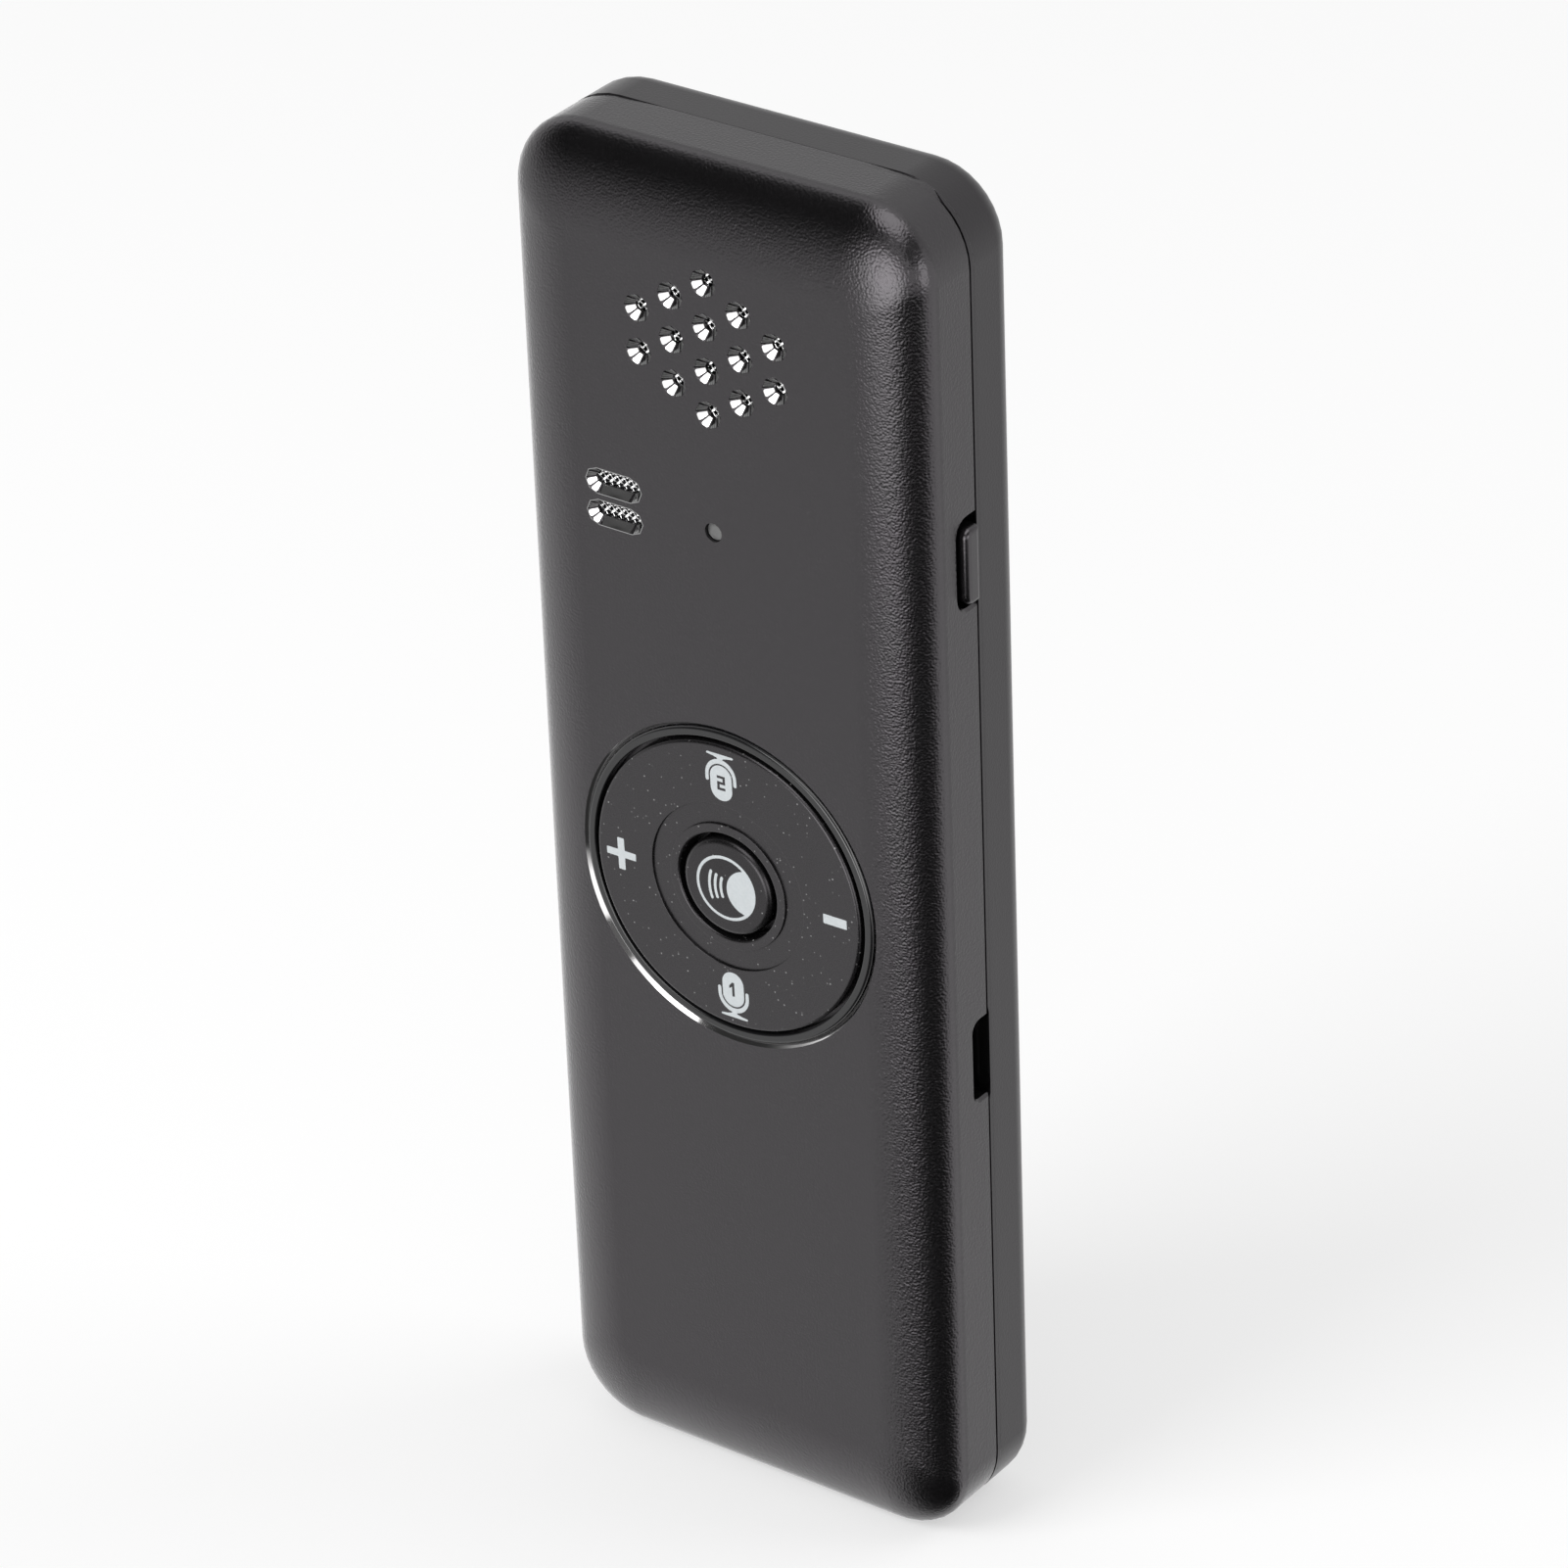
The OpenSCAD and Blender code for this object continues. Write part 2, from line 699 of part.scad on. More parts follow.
module centre_button() {
    rim = -button_proud + button_crown;
    face_r = button_r - button_edge;
    in_body() color(c_disc) turned(0, keypad_z, concat(
        [for (i = [0:6]) let (u = i / 6) [face_r * u, -button_proud + button_crown * u * u]],
        arc(face_r, rim + button_edge, button_edge, 285, 360),
        [
            [button_r, button_flange_y],
            [button_flange_r, button_flange_y],
            [button_flange_r, button_flange_y + button_flange_t],
            [plunger_r, button_flange_y + button_flange_t],
            [plunger_r, button_tip],
            [0, button_tip]
        ]
    ));
}

// Low switch on the board's front: a square body and a round dome
module switch(x, z) {
    in_body() color(c_steel) union() {
        slab(board_y - switch_body_t, switch_body_t)
            translate([x, z]) square(switch_w, center = true);
        turned(x, z, concat(
            [[0, switch_top]],
            [for (i = [1:4]) let (a = 90 * i / 4)
                [dome_r * sin(a), switch_top + (switch_t - switch_body_t) * (1 - cos(a))]],
            [[dome_r, board_y - switch_body_t / 2], [0, board_y - switch_body_t / 2]]
        ));
    }
}

module switch_up() switch(0, keypad_z + switch_ring_r);
module switch_down() switch(0, keypad_z - switch_ring_r);
module switch_left() switch(-switch_ring_r, keypad_z);
module switch_right() switch(switch_ring_r, keypad_z);
module switch_centre() switch(0, keypad_z);

// ---------------------------------------------------------------- power key

module power_key() {
    root_x = key_flange_x + key_flange_t / 2;
    face_x = body_w / 2 + key_proud;
    in_body() color(c_cover) {
        translate([0, key_y, key_z]) {
            hull() {
                across(root_x, face_x - key_round - root_x) rounded(key_t, key_l, key_corner);
                across(root_x, face_x - key_round * (1 - sin(45)) - root_x)
                    rounded(key_t - 2 * key_round * (1 - cos(45)),
                        key_l - 2 * key_round * (1 - cos(45)), key_corner);
                across(root_x, face_x - root_x)
                    rounded(key_t - 2 * key_round, key_l - 2 * key_round, key_corner);
            }
            across(key_flange_x, key_flange_t)
                square([key_t + 2 * key_flange_over, key_l + 2 * key_flange_over], center = true);
            across(key_nub_x, key_nub + key_flange_t / 2) square(key_nub_size, center = true);
        }
    }
}

module side_switch() {
    in_body() color(c_steel) translate([0, key_y, key_z]) {
        across(side_switch_x - side_switch_tip - side_switch_w, side_switch_w)
            square([side_switch_t, side_switch_h], center = true);
        across(side_switch_x - side_switch_tip, side_switch_tip)
            square(side_tip_size, center = true);
    }
}

// ---------------------------------------------------------------- light and sound

module led_light_pipe() {
    seat = front_wall + fit;
    foot = board_y - led_t - led_gap;
    in_body() color(c_light) turned(0, light_z, [
        [0, light_recess],
        [light_d / 2 - fit, light_recess],
        [light_d / 2 - fit, seat],
        [light_d / 2 + pipe_flange, seat],
        [light_d / 2 + pipe_flange, seat + pipe_flange_t],
        [light_d / 2, seat + pipe_flange_t + pipe_flange / 2],
        [light_d / 2, foot],
        [0, foot]
    ]);
}

module led_chip() {
    in_body() color(c_white) slab(board_y - led_t, led_t)
        translate([0, light_z]) square(led_size, center = true);
}

module speaker_mesh() {
    in_body() color(c_steel) bar(0, speaker_z, speaker_d / 2 - 2 * fit, front_wall, mesh_t);
}

module speaker_gasket() {
    in_body() color(c_foam) difference() {
        bar(0, speaker_z, speaker_d / 2 + 0.2, front_wall + mesh_t, gasket_t);
        bar(0, speaker_z, speaker_d / 2 - basket_rim, front_wall, mesh_t + gasket_t + past);
    }
}

module speaker_basket() {
    r = speaker_d / 2;
    neck_y = speaker_y + speaker_t - 1;
    in_body() color(c_chip) turned(0, speaker_z, [
        [r - basket_rim, speaker_y],
        [r, speaker_y],
        [r, speaker_y + 1.6],
        [magnet_r + fit + 1.9, neck_y - basket_wall],
        [magnet_r + fit, neck_y],
        [magnet_r + fit, neck_y - basket_wall],
        [magnet_r + fit + 1.4, neck_y - 2 * basket_wall - 0.1],
        [r - 0.6, speaker_y + 1.3],
        [r - 0.6, speaker_y + 0.7],
        [r - basket_rim, speaker_y + 0.7]
    ]);
}

// Diaphragm: a domed cap, a shallow cone and a rolled surround
module speaker_cone() {
    r = speaker_d / 2 - basket_rim - fit;
    root_y = speaker_y + 0.5;
    in_body() color(c_foam) turned(0, speaker_z, concat(
        [
            for (i = [0:6])
                let (a = 90 * i / 6)
                [cap_r * sin(a), root_y + film_t / 2 + cap_h * (1 - cos(a))]
        ],
        [[r - 3 * roll_r, root_y]],
        arc(r - 1.5 * roll_r, root_y, roll_r, 180, 360, 6),
        [
            [r, root_y],
            [r, root_y + film_t],
            [r - 3 * roll_r, root_y + film_t],
            [cap_r, root_y + cap_h + 2 * film_t],
            [0, root_y + cap_h + 2 * film_t]
        ]
    ));
}

module speaker_magnet() {
    in_body() color(c_steel) bar(0, speaker_z, magnet_r, speaker_y + speaker_t - magnet_t, magnet_t);
}

module mic_mesh() {
    in_body() color(c_steel) slab(front_wall, mesh_t)
        translate([-slots_x, slots_z]) rounded(boot_w, boot_h, boot_r);
}

// Rubber block that leads each slot to its own microphone
module mic_boot() {
    in_body() color(c_rubber) difference() {
        slab(front_wall + mesh_t, board_y - mic_t - front_wall - mesh_t)
            translate([-slots_x, slots_z]) rounded(boot_w, boot_h, boot_r);
        for (z = slot_heights)
            slab(front_wall, board_y) translate([-slots_x, z])
                stadium(slot_l - slot_w, slot_bore_w);
    }
}

module microphone(z) {
    in_body() color(c_steel) difference() {
        slab(board_y - mic_t, mic_t) translate([-slots_x, z]) square([mic_w, mic_h], center = true);
        bar(-slots_x, z, mic_port_r, board_y - mic_t - past, past + mic_t / 3);
    }
}

module microphone_upper() microphone(slot_heights[0]);
module microphone_lower() microphone(slot_heights[1]);

// ---------------------------------------------------------------- board

module main_board() {
    middle = (board_z + board_top) / 2;
    in_body() color(c_board) difference() {
        slab(board_y, board_t)
            translate([0, middle]) rounded(2 * board_half_w, board_top - board_z, board_corner);
        // The edge steps back beside the power key's flange
        translate([side_switch_x - side_switch_tip / 2, board_y - past, key_z - board_notch])
            cube([body_w, board_t + 2 * past, 2 * board_notch]);
        for (spot = boss_spots)
            bar(spot[0], spot[1], screw_r + screw_gap, board_y - past, board_t + 2 * past);
    }
}

module board_screws() {
    in_body() color(c_steel) for (spot = boss_spots) {
        bar(spot[0], spot[1], screw_r, board_back - screw_l, screw_l + fit);
        difference() {
            turned(spot[0], spot[1], [
                [0, board_back],
                [screw_head_r, board_back],
                [screw_head_r, board_back + screw_head_h / 2],
                [screw_head_r - screw_head_h / 2, board_back + screw_head_h],
                [0, board_back + screw_head_h]
            ]);
            for (turn = [0, 90])
                translate([spot[0], board_back + screw_head_h, spot[1]]) rotate([0, turn, 0])
                    cube([screw_head_r, screw_head_h, screw_slot], center = true);
        }
    }
}

// Outline of the receptacle's shell: its corners taper towards the board
module usb_outline(inset) {
    offset(-inset) polygon([
        [-usb_t / 2, -usb_w / 2 + usb_taper],
        [-usb_t / 2, usb_w / 2 - usb_taper],
        [-usb_t / 2 + 1, usb_w / 2],
        [usb_t / 2, usb_w / 2],
        [usb_t / 2, -usb_w / 2],
        [-usb_t / 2 + 1, -usb_w / 2]
    ]);
}

module usb_shell() {
    in_body() color(c_steel) translate([0, usb_y, port_z]) difference() {
        across(usb_mouth_x - usb_l, usb_l) usb_outline(0);
        across(usb_mouth_x - usb_l - past, usb_l + 2 * past) usb_outline(usb_wall);
    }
}

// Contact carrier: a block at the back of the shell with a thin tongue
module usb_tongue() {
    in_body() color(c_chip) translate([0, usb_y, port_z]) {
        across(usb_mouth_x - usb_l, usb_block) usb_outline(usb_wall + fit / 2);
        across(usb_mouth_x - usb_l, usb_l - usb_tongue_back)
            translate([usb_t / 2 - usb_wall - usb_tongue_size[0] / 2 - 0.2, 0])
                square(usb_tongue_size, center = true);
    }
}

module shield_can() {
    in_body() color(c_steel) slab(board_back, shield_t)
        translate([0, shield_z]) rounded(shield_w, shield_h, shield_r);
}

module memory_chip() {
    in_body() color(c_chip) slab(board_back, memory_t)
        translate([-memory_size[0], memory_z]) square(memory_size, center = true);
}

module battery_connector() {
    in_body() color(c_white) slab(board_back, plug_t)
        translate([plug_x, (boss_low_z + boss_top_z) / 2]) square(plug_size, center = true);
}

module antenna() {
    in_body() color(c_white) slab(board_back, antenna_t)
        translate([0, board_z + 1.5 * antenna_size[1]]) square(antenna_size, center = true);
}

// ---------------------------------------------------------------- battery

module foam_pad() {
    in_body() color(c_foam) slab(board_back, battery_y - board_back)
        translate([0, pad_z]) square(pad_size, center = true);
}

module battery_cell() {
    in_body() color(c_battery) slab(battery_y, battery_t)
        translate([0, battery_z + battery_h / 2]) rounded(battery_w, battery_h, battery_r);
}

module battery_tape() {
    in_body() color(c_white) slab(rear_in_y - tape_t, tape_t)
        translate([0, battery_z + battery_h / 2]) square([battery_w - 6, battery_h - 10], center = true);
}

front_cover();
rear_cover();
keypad_bezel();
nav_disc();
keypad_mat();
centre_button();
power_key();
led_light_pipe();
speaker_mesh();
mic_mesh();
speaker_gasket();
speaker_basket();
speaker_cone();
speaker_magnet();
mic_boot();
microphone_upper();
microphone_lower();
main_board();
switch_up();
switch_down();
switch_left();
switch_right();
switch_centre();
side_switch();
led_chip();
usb_shell();
usb_tongue();
shield_can();
memory_chip();
battery_connector();
antenna();
foam_pad();
battery_cell();
battery_tape();
board_screws();
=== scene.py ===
"""Looks of a handheld voice translator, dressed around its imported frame.

Lengths are in metres, and every piece stands in the frame's own place: x runs across, z up,
and y from the front face to the back. A depth counts back from the flat of the front face.
"""

import logging
import math
from abc import ABC, abstractmethod
from dataclasses import dataclass
from enum import Enum
from typing import Callable, Iterable, Sequence

import bmesh
import bpy
import numpy as np
from mathutils import Matrix, Vector
from mathutils.geometry import delaunay_2d_cdt


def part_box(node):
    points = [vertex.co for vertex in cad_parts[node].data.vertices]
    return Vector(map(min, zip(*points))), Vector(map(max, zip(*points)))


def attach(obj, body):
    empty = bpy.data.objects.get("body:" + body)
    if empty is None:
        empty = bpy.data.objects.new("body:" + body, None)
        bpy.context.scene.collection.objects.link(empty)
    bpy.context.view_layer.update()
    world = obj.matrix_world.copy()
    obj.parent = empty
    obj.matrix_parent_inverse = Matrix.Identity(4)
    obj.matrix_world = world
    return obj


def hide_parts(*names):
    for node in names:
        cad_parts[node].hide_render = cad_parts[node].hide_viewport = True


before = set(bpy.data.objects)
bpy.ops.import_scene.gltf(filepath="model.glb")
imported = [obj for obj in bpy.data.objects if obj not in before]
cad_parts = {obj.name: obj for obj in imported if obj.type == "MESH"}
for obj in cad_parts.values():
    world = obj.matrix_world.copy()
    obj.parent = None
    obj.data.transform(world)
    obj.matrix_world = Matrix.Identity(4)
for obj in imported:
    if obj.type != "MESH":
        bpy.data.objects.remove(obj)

LOG = logging.getLogger("translator")
MM = 0.001

Flat = tuple[float, float]
Triple = tuple[float, float, float]
Colour = tuple[float, float, float]
Pair = tuple[Colour, Colour]
Mesh = tuple[list, list]
Socket = bpy.types.NodeSocket
Surface = Callable[[float, float], tuple[Vector, Vector]]

# Most of a noise lies between these values.
NOISE_SPAN: Flat = (0.3, 0.7)
# A length under TINY counts as none, and NO_LENGTH keeps a division from one by zero.
TINY = 1e-9
NO_LENGTH = 1e-20
# A triangle whose doubled area is smaller has no say in a normal.
SLIVER = 1e-14
# Points that lie closer together are one place.
SAME_PLACE = 1e-4 * MM
# Depth of the front cover's rim, from the front face.
RIM_DEPTH = 7.8 * MM

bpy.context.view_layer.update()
FRONT_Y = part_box("front_cover")[0].y
PARTING_Y = (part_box("front_cover")[1].y + FRONT_Y + RIM_DEPTH) / 2
KEYPAD_Z = (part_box("nav_disc")[0].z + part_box("nav_disc")[1].z) / 2


class Body(Enum):
    """The bodies that carry new pieces."""

    HOUSING = "housing"
    ROCKER = "rocker"
    BUTTON = "button"
    SIDE_KEY = "side_key"


# ------------------------------------------------------------------ meshes


def new_piece(name: str, verts: Iterable, faces: Iterable, smooth_below: float = 30.0) -> bpy.types.Object:
    """Makes a mesh object whose shading is smooth up to an angle between its faces.

    Args:
        name: The piece's name.
        verts: Its points, in metres.
        faces: Its faces, as lists of point numbers.
        smooth_below: Edges with a sharper angle than this, in degrees, stay sharp.

    Returns:
        The new object.
    """
    mesh = bpy.data.meshes.new(name)
    mesh.from_pydata([tuple(v) for v in verts], [], [tuple(f) for f in faces])
    mesh.validate()
    mesh.update()
    build = bmesh.new()
    build.from_mesh(mesh)
    bmesh.ops.recalc_face_normals(build, faces=build.faces)
    build.to_mesh(mesh)
    build.free()
    mesh.polygons.foreach_set("use_smooth", [True] * len(mesh.polygons))
    mesh.set_sharp_from_angle(angle=math.radians(smooth_below))
    piece = bpy.data.objects.new(name, mesh)
    bpy.context.scene.collection.objects.link(piece)
    return piece


def polar(cx: float, cy: float, r: float, angle: float) -> Flat:
    """Gives the point at a distance from a centre and at an angle in degrees."""
    a = math.radians(angle)
    return cx + r * math.cos(a), cy + r * math.sin(a)


def arc(cx: float, cy: float, r: float, start: float, end: float, steps: int) -> list[Flat]:
    """Points of an arc.

    Args:
        cx: Centre, first coordinate.
        cy: Centre, second coordinate.
        r: Radius.
        start: Angle of the first point, in degrees.
        end: Angle of the last point, in degrees.
        steps: Number of steps.

    Returns:
        The points, both ends included.
    """
    return [polar(cx, cy, r, start + (end - start) * i / steps) for i in range(steps + 1)]


def turned(profile: Sequence[Flat], x: float, z: float, steps: int) -> Mesh:
    """Turns a closed profile about an axis that runs along the depth.

    Args:
        profile: Points of (radius, depth), in order around the section.
        x: Place of the axis across.
        z: Height of the axis.
        steps: Steps around.

    Returns:
        Points and faces.
    """
    verts: list = []
    rings: list[list[int]] = []
    profile = guarded(profile)
    for r, depth in profile:
        count = 1 if r < TINY else steps
        rings.append(list(range(len(verts), len(verts) + count)))
        for k in range(count):
            a = 2 * math.pi * k / steps
            verts.append((x + r * math.cos(a), FRONT_Y + depth, z + r * math.sin(a)))
    faces: list = []
    for i, one in enumerate(rings):
        other = rings[(i + 1) % len(rings)]
        if len(one) == 1 and len(other) == 1:
            continue
        for k in range(steps):
            quad = [one[k % len(one)], one[(k + 1) % len(one)],
                    other[(k + 1) % len(other)], other[k % len(other)]]
            faces.append(list(dict.fromkeys(quad)))
    return verts, faces


def guarded(line: Sequence[Flat], reach: float = 0.02 * MM, least: float = 0.2 * MM) -> list[Flat]:
    """Adds points close to both ends of each long stretch of a closed line.

    They keep the smooth shading of a rounded edge off the flat beside it.

    Args:
        line: The closed line.
        reach: Distance of the added points from the ends.
        least: Length from which a stretch counts as long.

    Returns:
        The line with the added points.
    """
    result: list[Flat] = []
    for (u0, v0), (u1, v1) in zip(line, [*line[1:], line[0]]):
        result.append((u0, v0))
        length = math.hypot(u1 - u0, v1 - v0)
        if length > least:
            for t in (reach / length, 1 - reach / length):
                result.append((u0 + (u1 - u0) * t, v0 + (v1 - v0) * t))
    return result


def rounded(corners: Sequence[Triple], steps: int = 5) -> list[Flat]:
    """Rounds the corners of a closed outline.

    Args:
        corners: The corners in order, each with its radius.
        steps: Steps around a rounded corner.

    Returns:
        The outline's points.
    """
    line: list[Flat] = []
    for i, (u, v, r) in enumerate(corners):
        here = Vector((u, v))
        if r <= 0:
            line.append((u, v))
            continue
        before = (Vector(corners[i - 1][:2]) - here).normalized()
        after = (Vector(corners[(i + 1) % len(corners)][:2]) - here).normalized()
        half = before.angle(after) / 2
        middle = here + (before + after).normalized() * (r / math.sin(half))
        start = here + before * (r / math.tan(half)) - middle
        end = here + after * (r / math.tan(half)) - middle
        first = math.atan2(start.y, start.x)
        sweep = (math.atan2(end.y, end.x) - first + math.pi) % (2 * math.pi) - math.pi
        line += arc(middle.x, middle.y, r, math.degrees(first), math.degrees(first + sweep), steps)
    return line


def band(cx: float, cy: float, r: float, stroke: float, start: float, end: float,
         steps: int = 16, cap_steps: int = 6) -> list[Flat]:
    """Outline of an arc drawn with a stroke, whose ends are round.

    Args:
        cx: Centre, first coordinate.
        cy: Centre, second coordinate.
        r: Radius of the stroke's middle line.
        stroke: Its width.
        start: Angle of its first end, in degrees.
        end: Angle of its last end, in degrees.
        steps: Steps along the stroke.
        cap_steps: Steps around a round end.

    Returns:
        The outline's points.
    """
    half = stroke / 2
    caps = []
    for angle, first in ((end, end), (start, start + 180)):
        caps.append(arc(*polar(cx, cy, r, angle), half, first, first + 180, cap_steps)[1:-1])
    return [*arc(cx, cy, r + half, start, end, steps), *caps[0],
            *arc(cx, cy, r - half, end, start, steps), *caps[1]]


def lofted(rings: Sequence[Sequence[Triple]]) -> Mesh:
    """Joins rings of points, one after the other, and closes both ends.

    Args:
        rings: The rings, all with as many points.

    Returns:
        Points and faces.
    """
    n = len(rings[0])
    faces = []
    for i in range(len(rings) - 1):
        for k in range(n):
            a = i * n + k
            b = i * n + (k + 1) % n
            faces.append([a, b, b + n, a + n])
    last = (len(rings) - 1) * n
    faces += [list(range(n)), list(range(last + n - 1, last - 1, -1))]
    return [p for ring in rings for p in ring], faces


def joined(parts: Sequence[Mesh]) -> Mesh:
    """Puts several sets of points and faces in one.

    Args:
        parts: The sets.

    Returns:
        All points and all faces.
    """
    verts: list = []
    faces: list = []
    for some_verts, some_faces in parts:
        first = len(verts)
        verts += some_verts
        faces += [[first + i for i in face] for face in some_faces]
    return verts, faces


def filled(outlines: Sequence[Sequence[Flat]], grid: float) -> tuple[np.ndarray, list]:
    """Fills flat outlines with triangles, by the even-odd rule.

    Args:
        outlines: Closed outlines, holes among them.
        grid: Spacing of the extra points inside, so that the fill can follow a curved face.

    Returns:
        Points and triangles.
    """
    points: list = []
    edges: list = []
    for line in outlines:
        first = len(points)
        points += list(line)
        edges += [(first + i, first + (i + 1) % len(line)) for i in range(len(line))]
    low = np.min(points, axis=0)
    high = np.max(points, axis=0)
    for u in np.arange(low[0] + grid / 2, high[0], grid):
        for v in np.arange(low[1] + grid / 2, high[1], grid):
            if inside(u, v, outlines):
                points.append((u, v))
    flat, _, triangles, _, _, _ = delaunay_2d_cdt([Vector(p) for p in points], edges, [], 0, TINY)
    flat = np.array([(p.x, p.y) for p in flat])
    kept = [t for t in triangles if inside(*flat[list(t)].mean(axis=0), outlines)]
    return flat, kept


@dataclass
class Sheet:
    """A thin closed layer, cut to flat outlines, that can be laid on any surface.

    Attributes:
        outlines: Its closed outlines, holes among them.
        grid: Spacing of its inner points.
    """

    outlines: Sequence[Sequence[Flat]]
    grid: float

    def __post_init__(self) -> None:
        """Fills the outlines once."""
        self.flat, self.triangles = filled(self.outlines, self.grid)

    def laid(self, surface: Surface, lift: float, sink: float) -> Mesh:
        """Lays the layer on a surface.

        Args:
            surface: Gives the place and the outward normal for a point of the sheet.
            lift: Height of the layer's face over the surface.
            sink: Depth of its back under the surface.

        Returns:
            Points and faces.
        """
        spots = [surface(u, v) for u, v in self.flat]
        verts = [tuple(spot + normal * lift) for spot, normal in spots]
        verts += [tuple(spot - normal * sink) for spot, normal in spots]
        n = len(spots)
        border = {}
        for t in self.triangles:
            for a, b in zip(t, [*t[1:], t[0]]):
                if (b, a) in border:
                    del border[(b, a)]
                else:
                    border[(a, b)] = [a, n + a, n + b, b]
        faces = [list(t) for t in self.triangles]
        faces += [[n + i for i in reversed(t)] for t in self.triangles]
        return verts, faces + list(border.values())


def inside(u: float, v: float, outlines: Sequence[Sequence[Flat]]) -> bool:
    """Says whether a point lies inside outlines, by the even-odd rule.

    Args:
        u: The point's first coordinate.
        v: Its second coordinate.
        outlines: Closed outlines, holes among them.

    Returns:
        True where it lies inside.
    """
    odd = False
    for line in outlines:
        for (u0, v0), (u1, v1) in zip(line, [*line[1:], line[0]]):
            if (v0 > v) != (v1 > v) and u < u0 + (v - v0) / (v1 - v0) * (u1 - u0):
                odd = not odd
    return odd


def corner_normals(mesh: bpy.types.Mesh, limit: float) -> np.ndarray:
    """Averages each corner's normal over the faces that meet there at less than an angle.

    Args:
        mesh: A triangle mesh whose points may be doubled along its edges.
        limit: The angle, in degrees.

    Returns:
        One normal per corner.
    """
    co = np.zeros(len(mesh.vertices) * 3)
    mesh.vertices.foreach_get("co", co)
    _, place = np.unique(np.round(co.reshape(-1, 3) / SAME_PLACE), axis=0, return_inverse=True)
    corner_vert = np.zeros(len(mesh.loops), int)
    mesh.loops.foreach_get("vertex_index", corner_vert)
    tri = corner_vert.reshape(-1, 3)
    p = co.reshape(-1, 3)[tri]
    cross = np.cross(p[:, 1] - p[:, 0], p[:, 2] - p[:, 0])
    size = np.linalg.norm(cross, axis=1, keepdims=True)
    face = cross / np.maximum(size, NO_LENGTH)
    ahead = p[:, [1, 2, 0]] - p
    back = p[:, [2, 0, 1]] - p
    lengths = np.linalg.norm(ahead, axis=2) * np.linalg.norm(back, axis=2)
    cosine = (ahead * back).sum(2) / np.maximum(lengths, NO_LENGTH)
    weight = np.arccos(np.clip(cosine, -1, 1)) * (size > SLIVER)
    corner_place = place.ravel()[tri].ravel()
    order = np.argsort(corner_place, kind="stable")
    starts = np.flatnonzero(np.r_[True, np.diff(corner_place[order]) > 0])
    normal = np.repeat(face, 3, axis=0)
    flat_weight = weight.ravel()
    result = normal.copy()
    for group in np.split(order, starts[1:]):
        n = normal[group]
        close = (n @ n.T) > math.cos(math.radians(limit))
        total = (close * flat_weight[group][None, :]) @ n
        length = np.linalg.norm(total, axis=1, keepdims=True)
        result[group] = np.where(length > TINY, total / np.maximum(length, NO_LENGTH), n)
    return result


def set_normals(piece: bpy.types.Object, normals: np.ndarray) -> None:
    """Gives a mesh its corner normals.

    Args:
        piece: The mesh's object.
        normals: One normal per corner.
    """
    mesh = piece.data
    mesh.polygons.foreach_set("use_smooth", [True] * len(mesh.polygons))
    mesh.normals_split_custom_set([tuple(n) for n in normals])


def face_middles(mesh: bpy.types.Mesh) -> tuple[np.ndarray, np.ndarray]:
    """Gives each face's middle and normal.

    Args:
        mesh: The mesh.

    Returns:
        The middles and the normals, one row per face.
    """
    middle = np.zeros(len(mesh.polygons) * 3)
    normal = np.zeros(len(mesh.polygons) * 3)
    mesh.polygons.foreach_get("center", middle)
    mesh.polygons.foreach_get("normal", normal)
    return middle.reshape(-1, 3), normal.reshape(-1, 3)


# ------------------------------------------------------------------ finishes


class Nodes:
    """A node tree and the nodes that are added to it."""

    def __init__(self, tree: bpy.types.NodeTree) -> None:
        """Keeps the tree."""
        self.tree = tree

    def node(self, kind: str, **settings: object) -> bpy.types.Node:
        """Adds a node.

        Args:
            kind: The node's type.
            **settings: Its properties, and its inputs' values by name with _ for a space.

        Returns:
            The node.
        """
        made = self.tree.nodes.new(kind)
        for key, value in settings.items():
            title = key.replace("_", " ")
            if title in made.inputs:
                made.inputs[title].default_value = value
            else:
                setattr(made, key, value)
        return made

    def feed(self, target: Socket, source: Socket | float) -> None:
        """Gives an input what it works with.

        Args:
            target: The input.
            source: An output to link to it, or a constant.
        """
        if isinstance(source, Socket):
            self.tree.links.new(source, target)
        else:
            target.default_value = source

    def ranged(self, source: Socket, span: Flat, to: Flat) -> Socket:
        """Maps a value from one range to another, softly at the ends.

        Args:
            source: The value.
            span: The range that it comes from.
            to: The range that it goes to.

        Returns:
            The mapped value.
        """
        mapped = self.node("ShaderNodeMapRange", interpolation_type="SMOOTHSTEP",
                           From_Min=span[0], From_Max=span[1], To_Min=to[0], To_Max=to[1])
        self.feed(mapped.inputs["Value"], source)
        return mapped.outputs["Result"]

    def math(self, operation: str, first: Socket, second: Socket | float) -> Socket:
        """Works out one value from two.

        Args:
            operation: What is done with them.
            first: The first value.
            second: The second value, or a constant.

        Returns:
            The result.
        """
        result = self.node("ShaderNodeMath", operation=operation)
        self.feed(result.inputs[0], first)
        self.feed(result.inputs[1], second)
        return result.outputs[0]

    def mix(self, factor: Socket, low: Socket | float, high: Socket | float) -> Socket:
        """Mixes two values.

        Args:
            factor: How much of the second one there is, from 0 to 1.
            low: The first value, or a constant.
            high: The second value, or a constant.

        Returns:
            The mixed value.
        """
        mixed = self.node("ShaderNodeMix")
        self.feed(mixed.inputs[0], factor)
        self.feed(mixed.inputs[2], low)
        self.feed(mixed.inputs[3], high)
        return mixed.outputs[0]


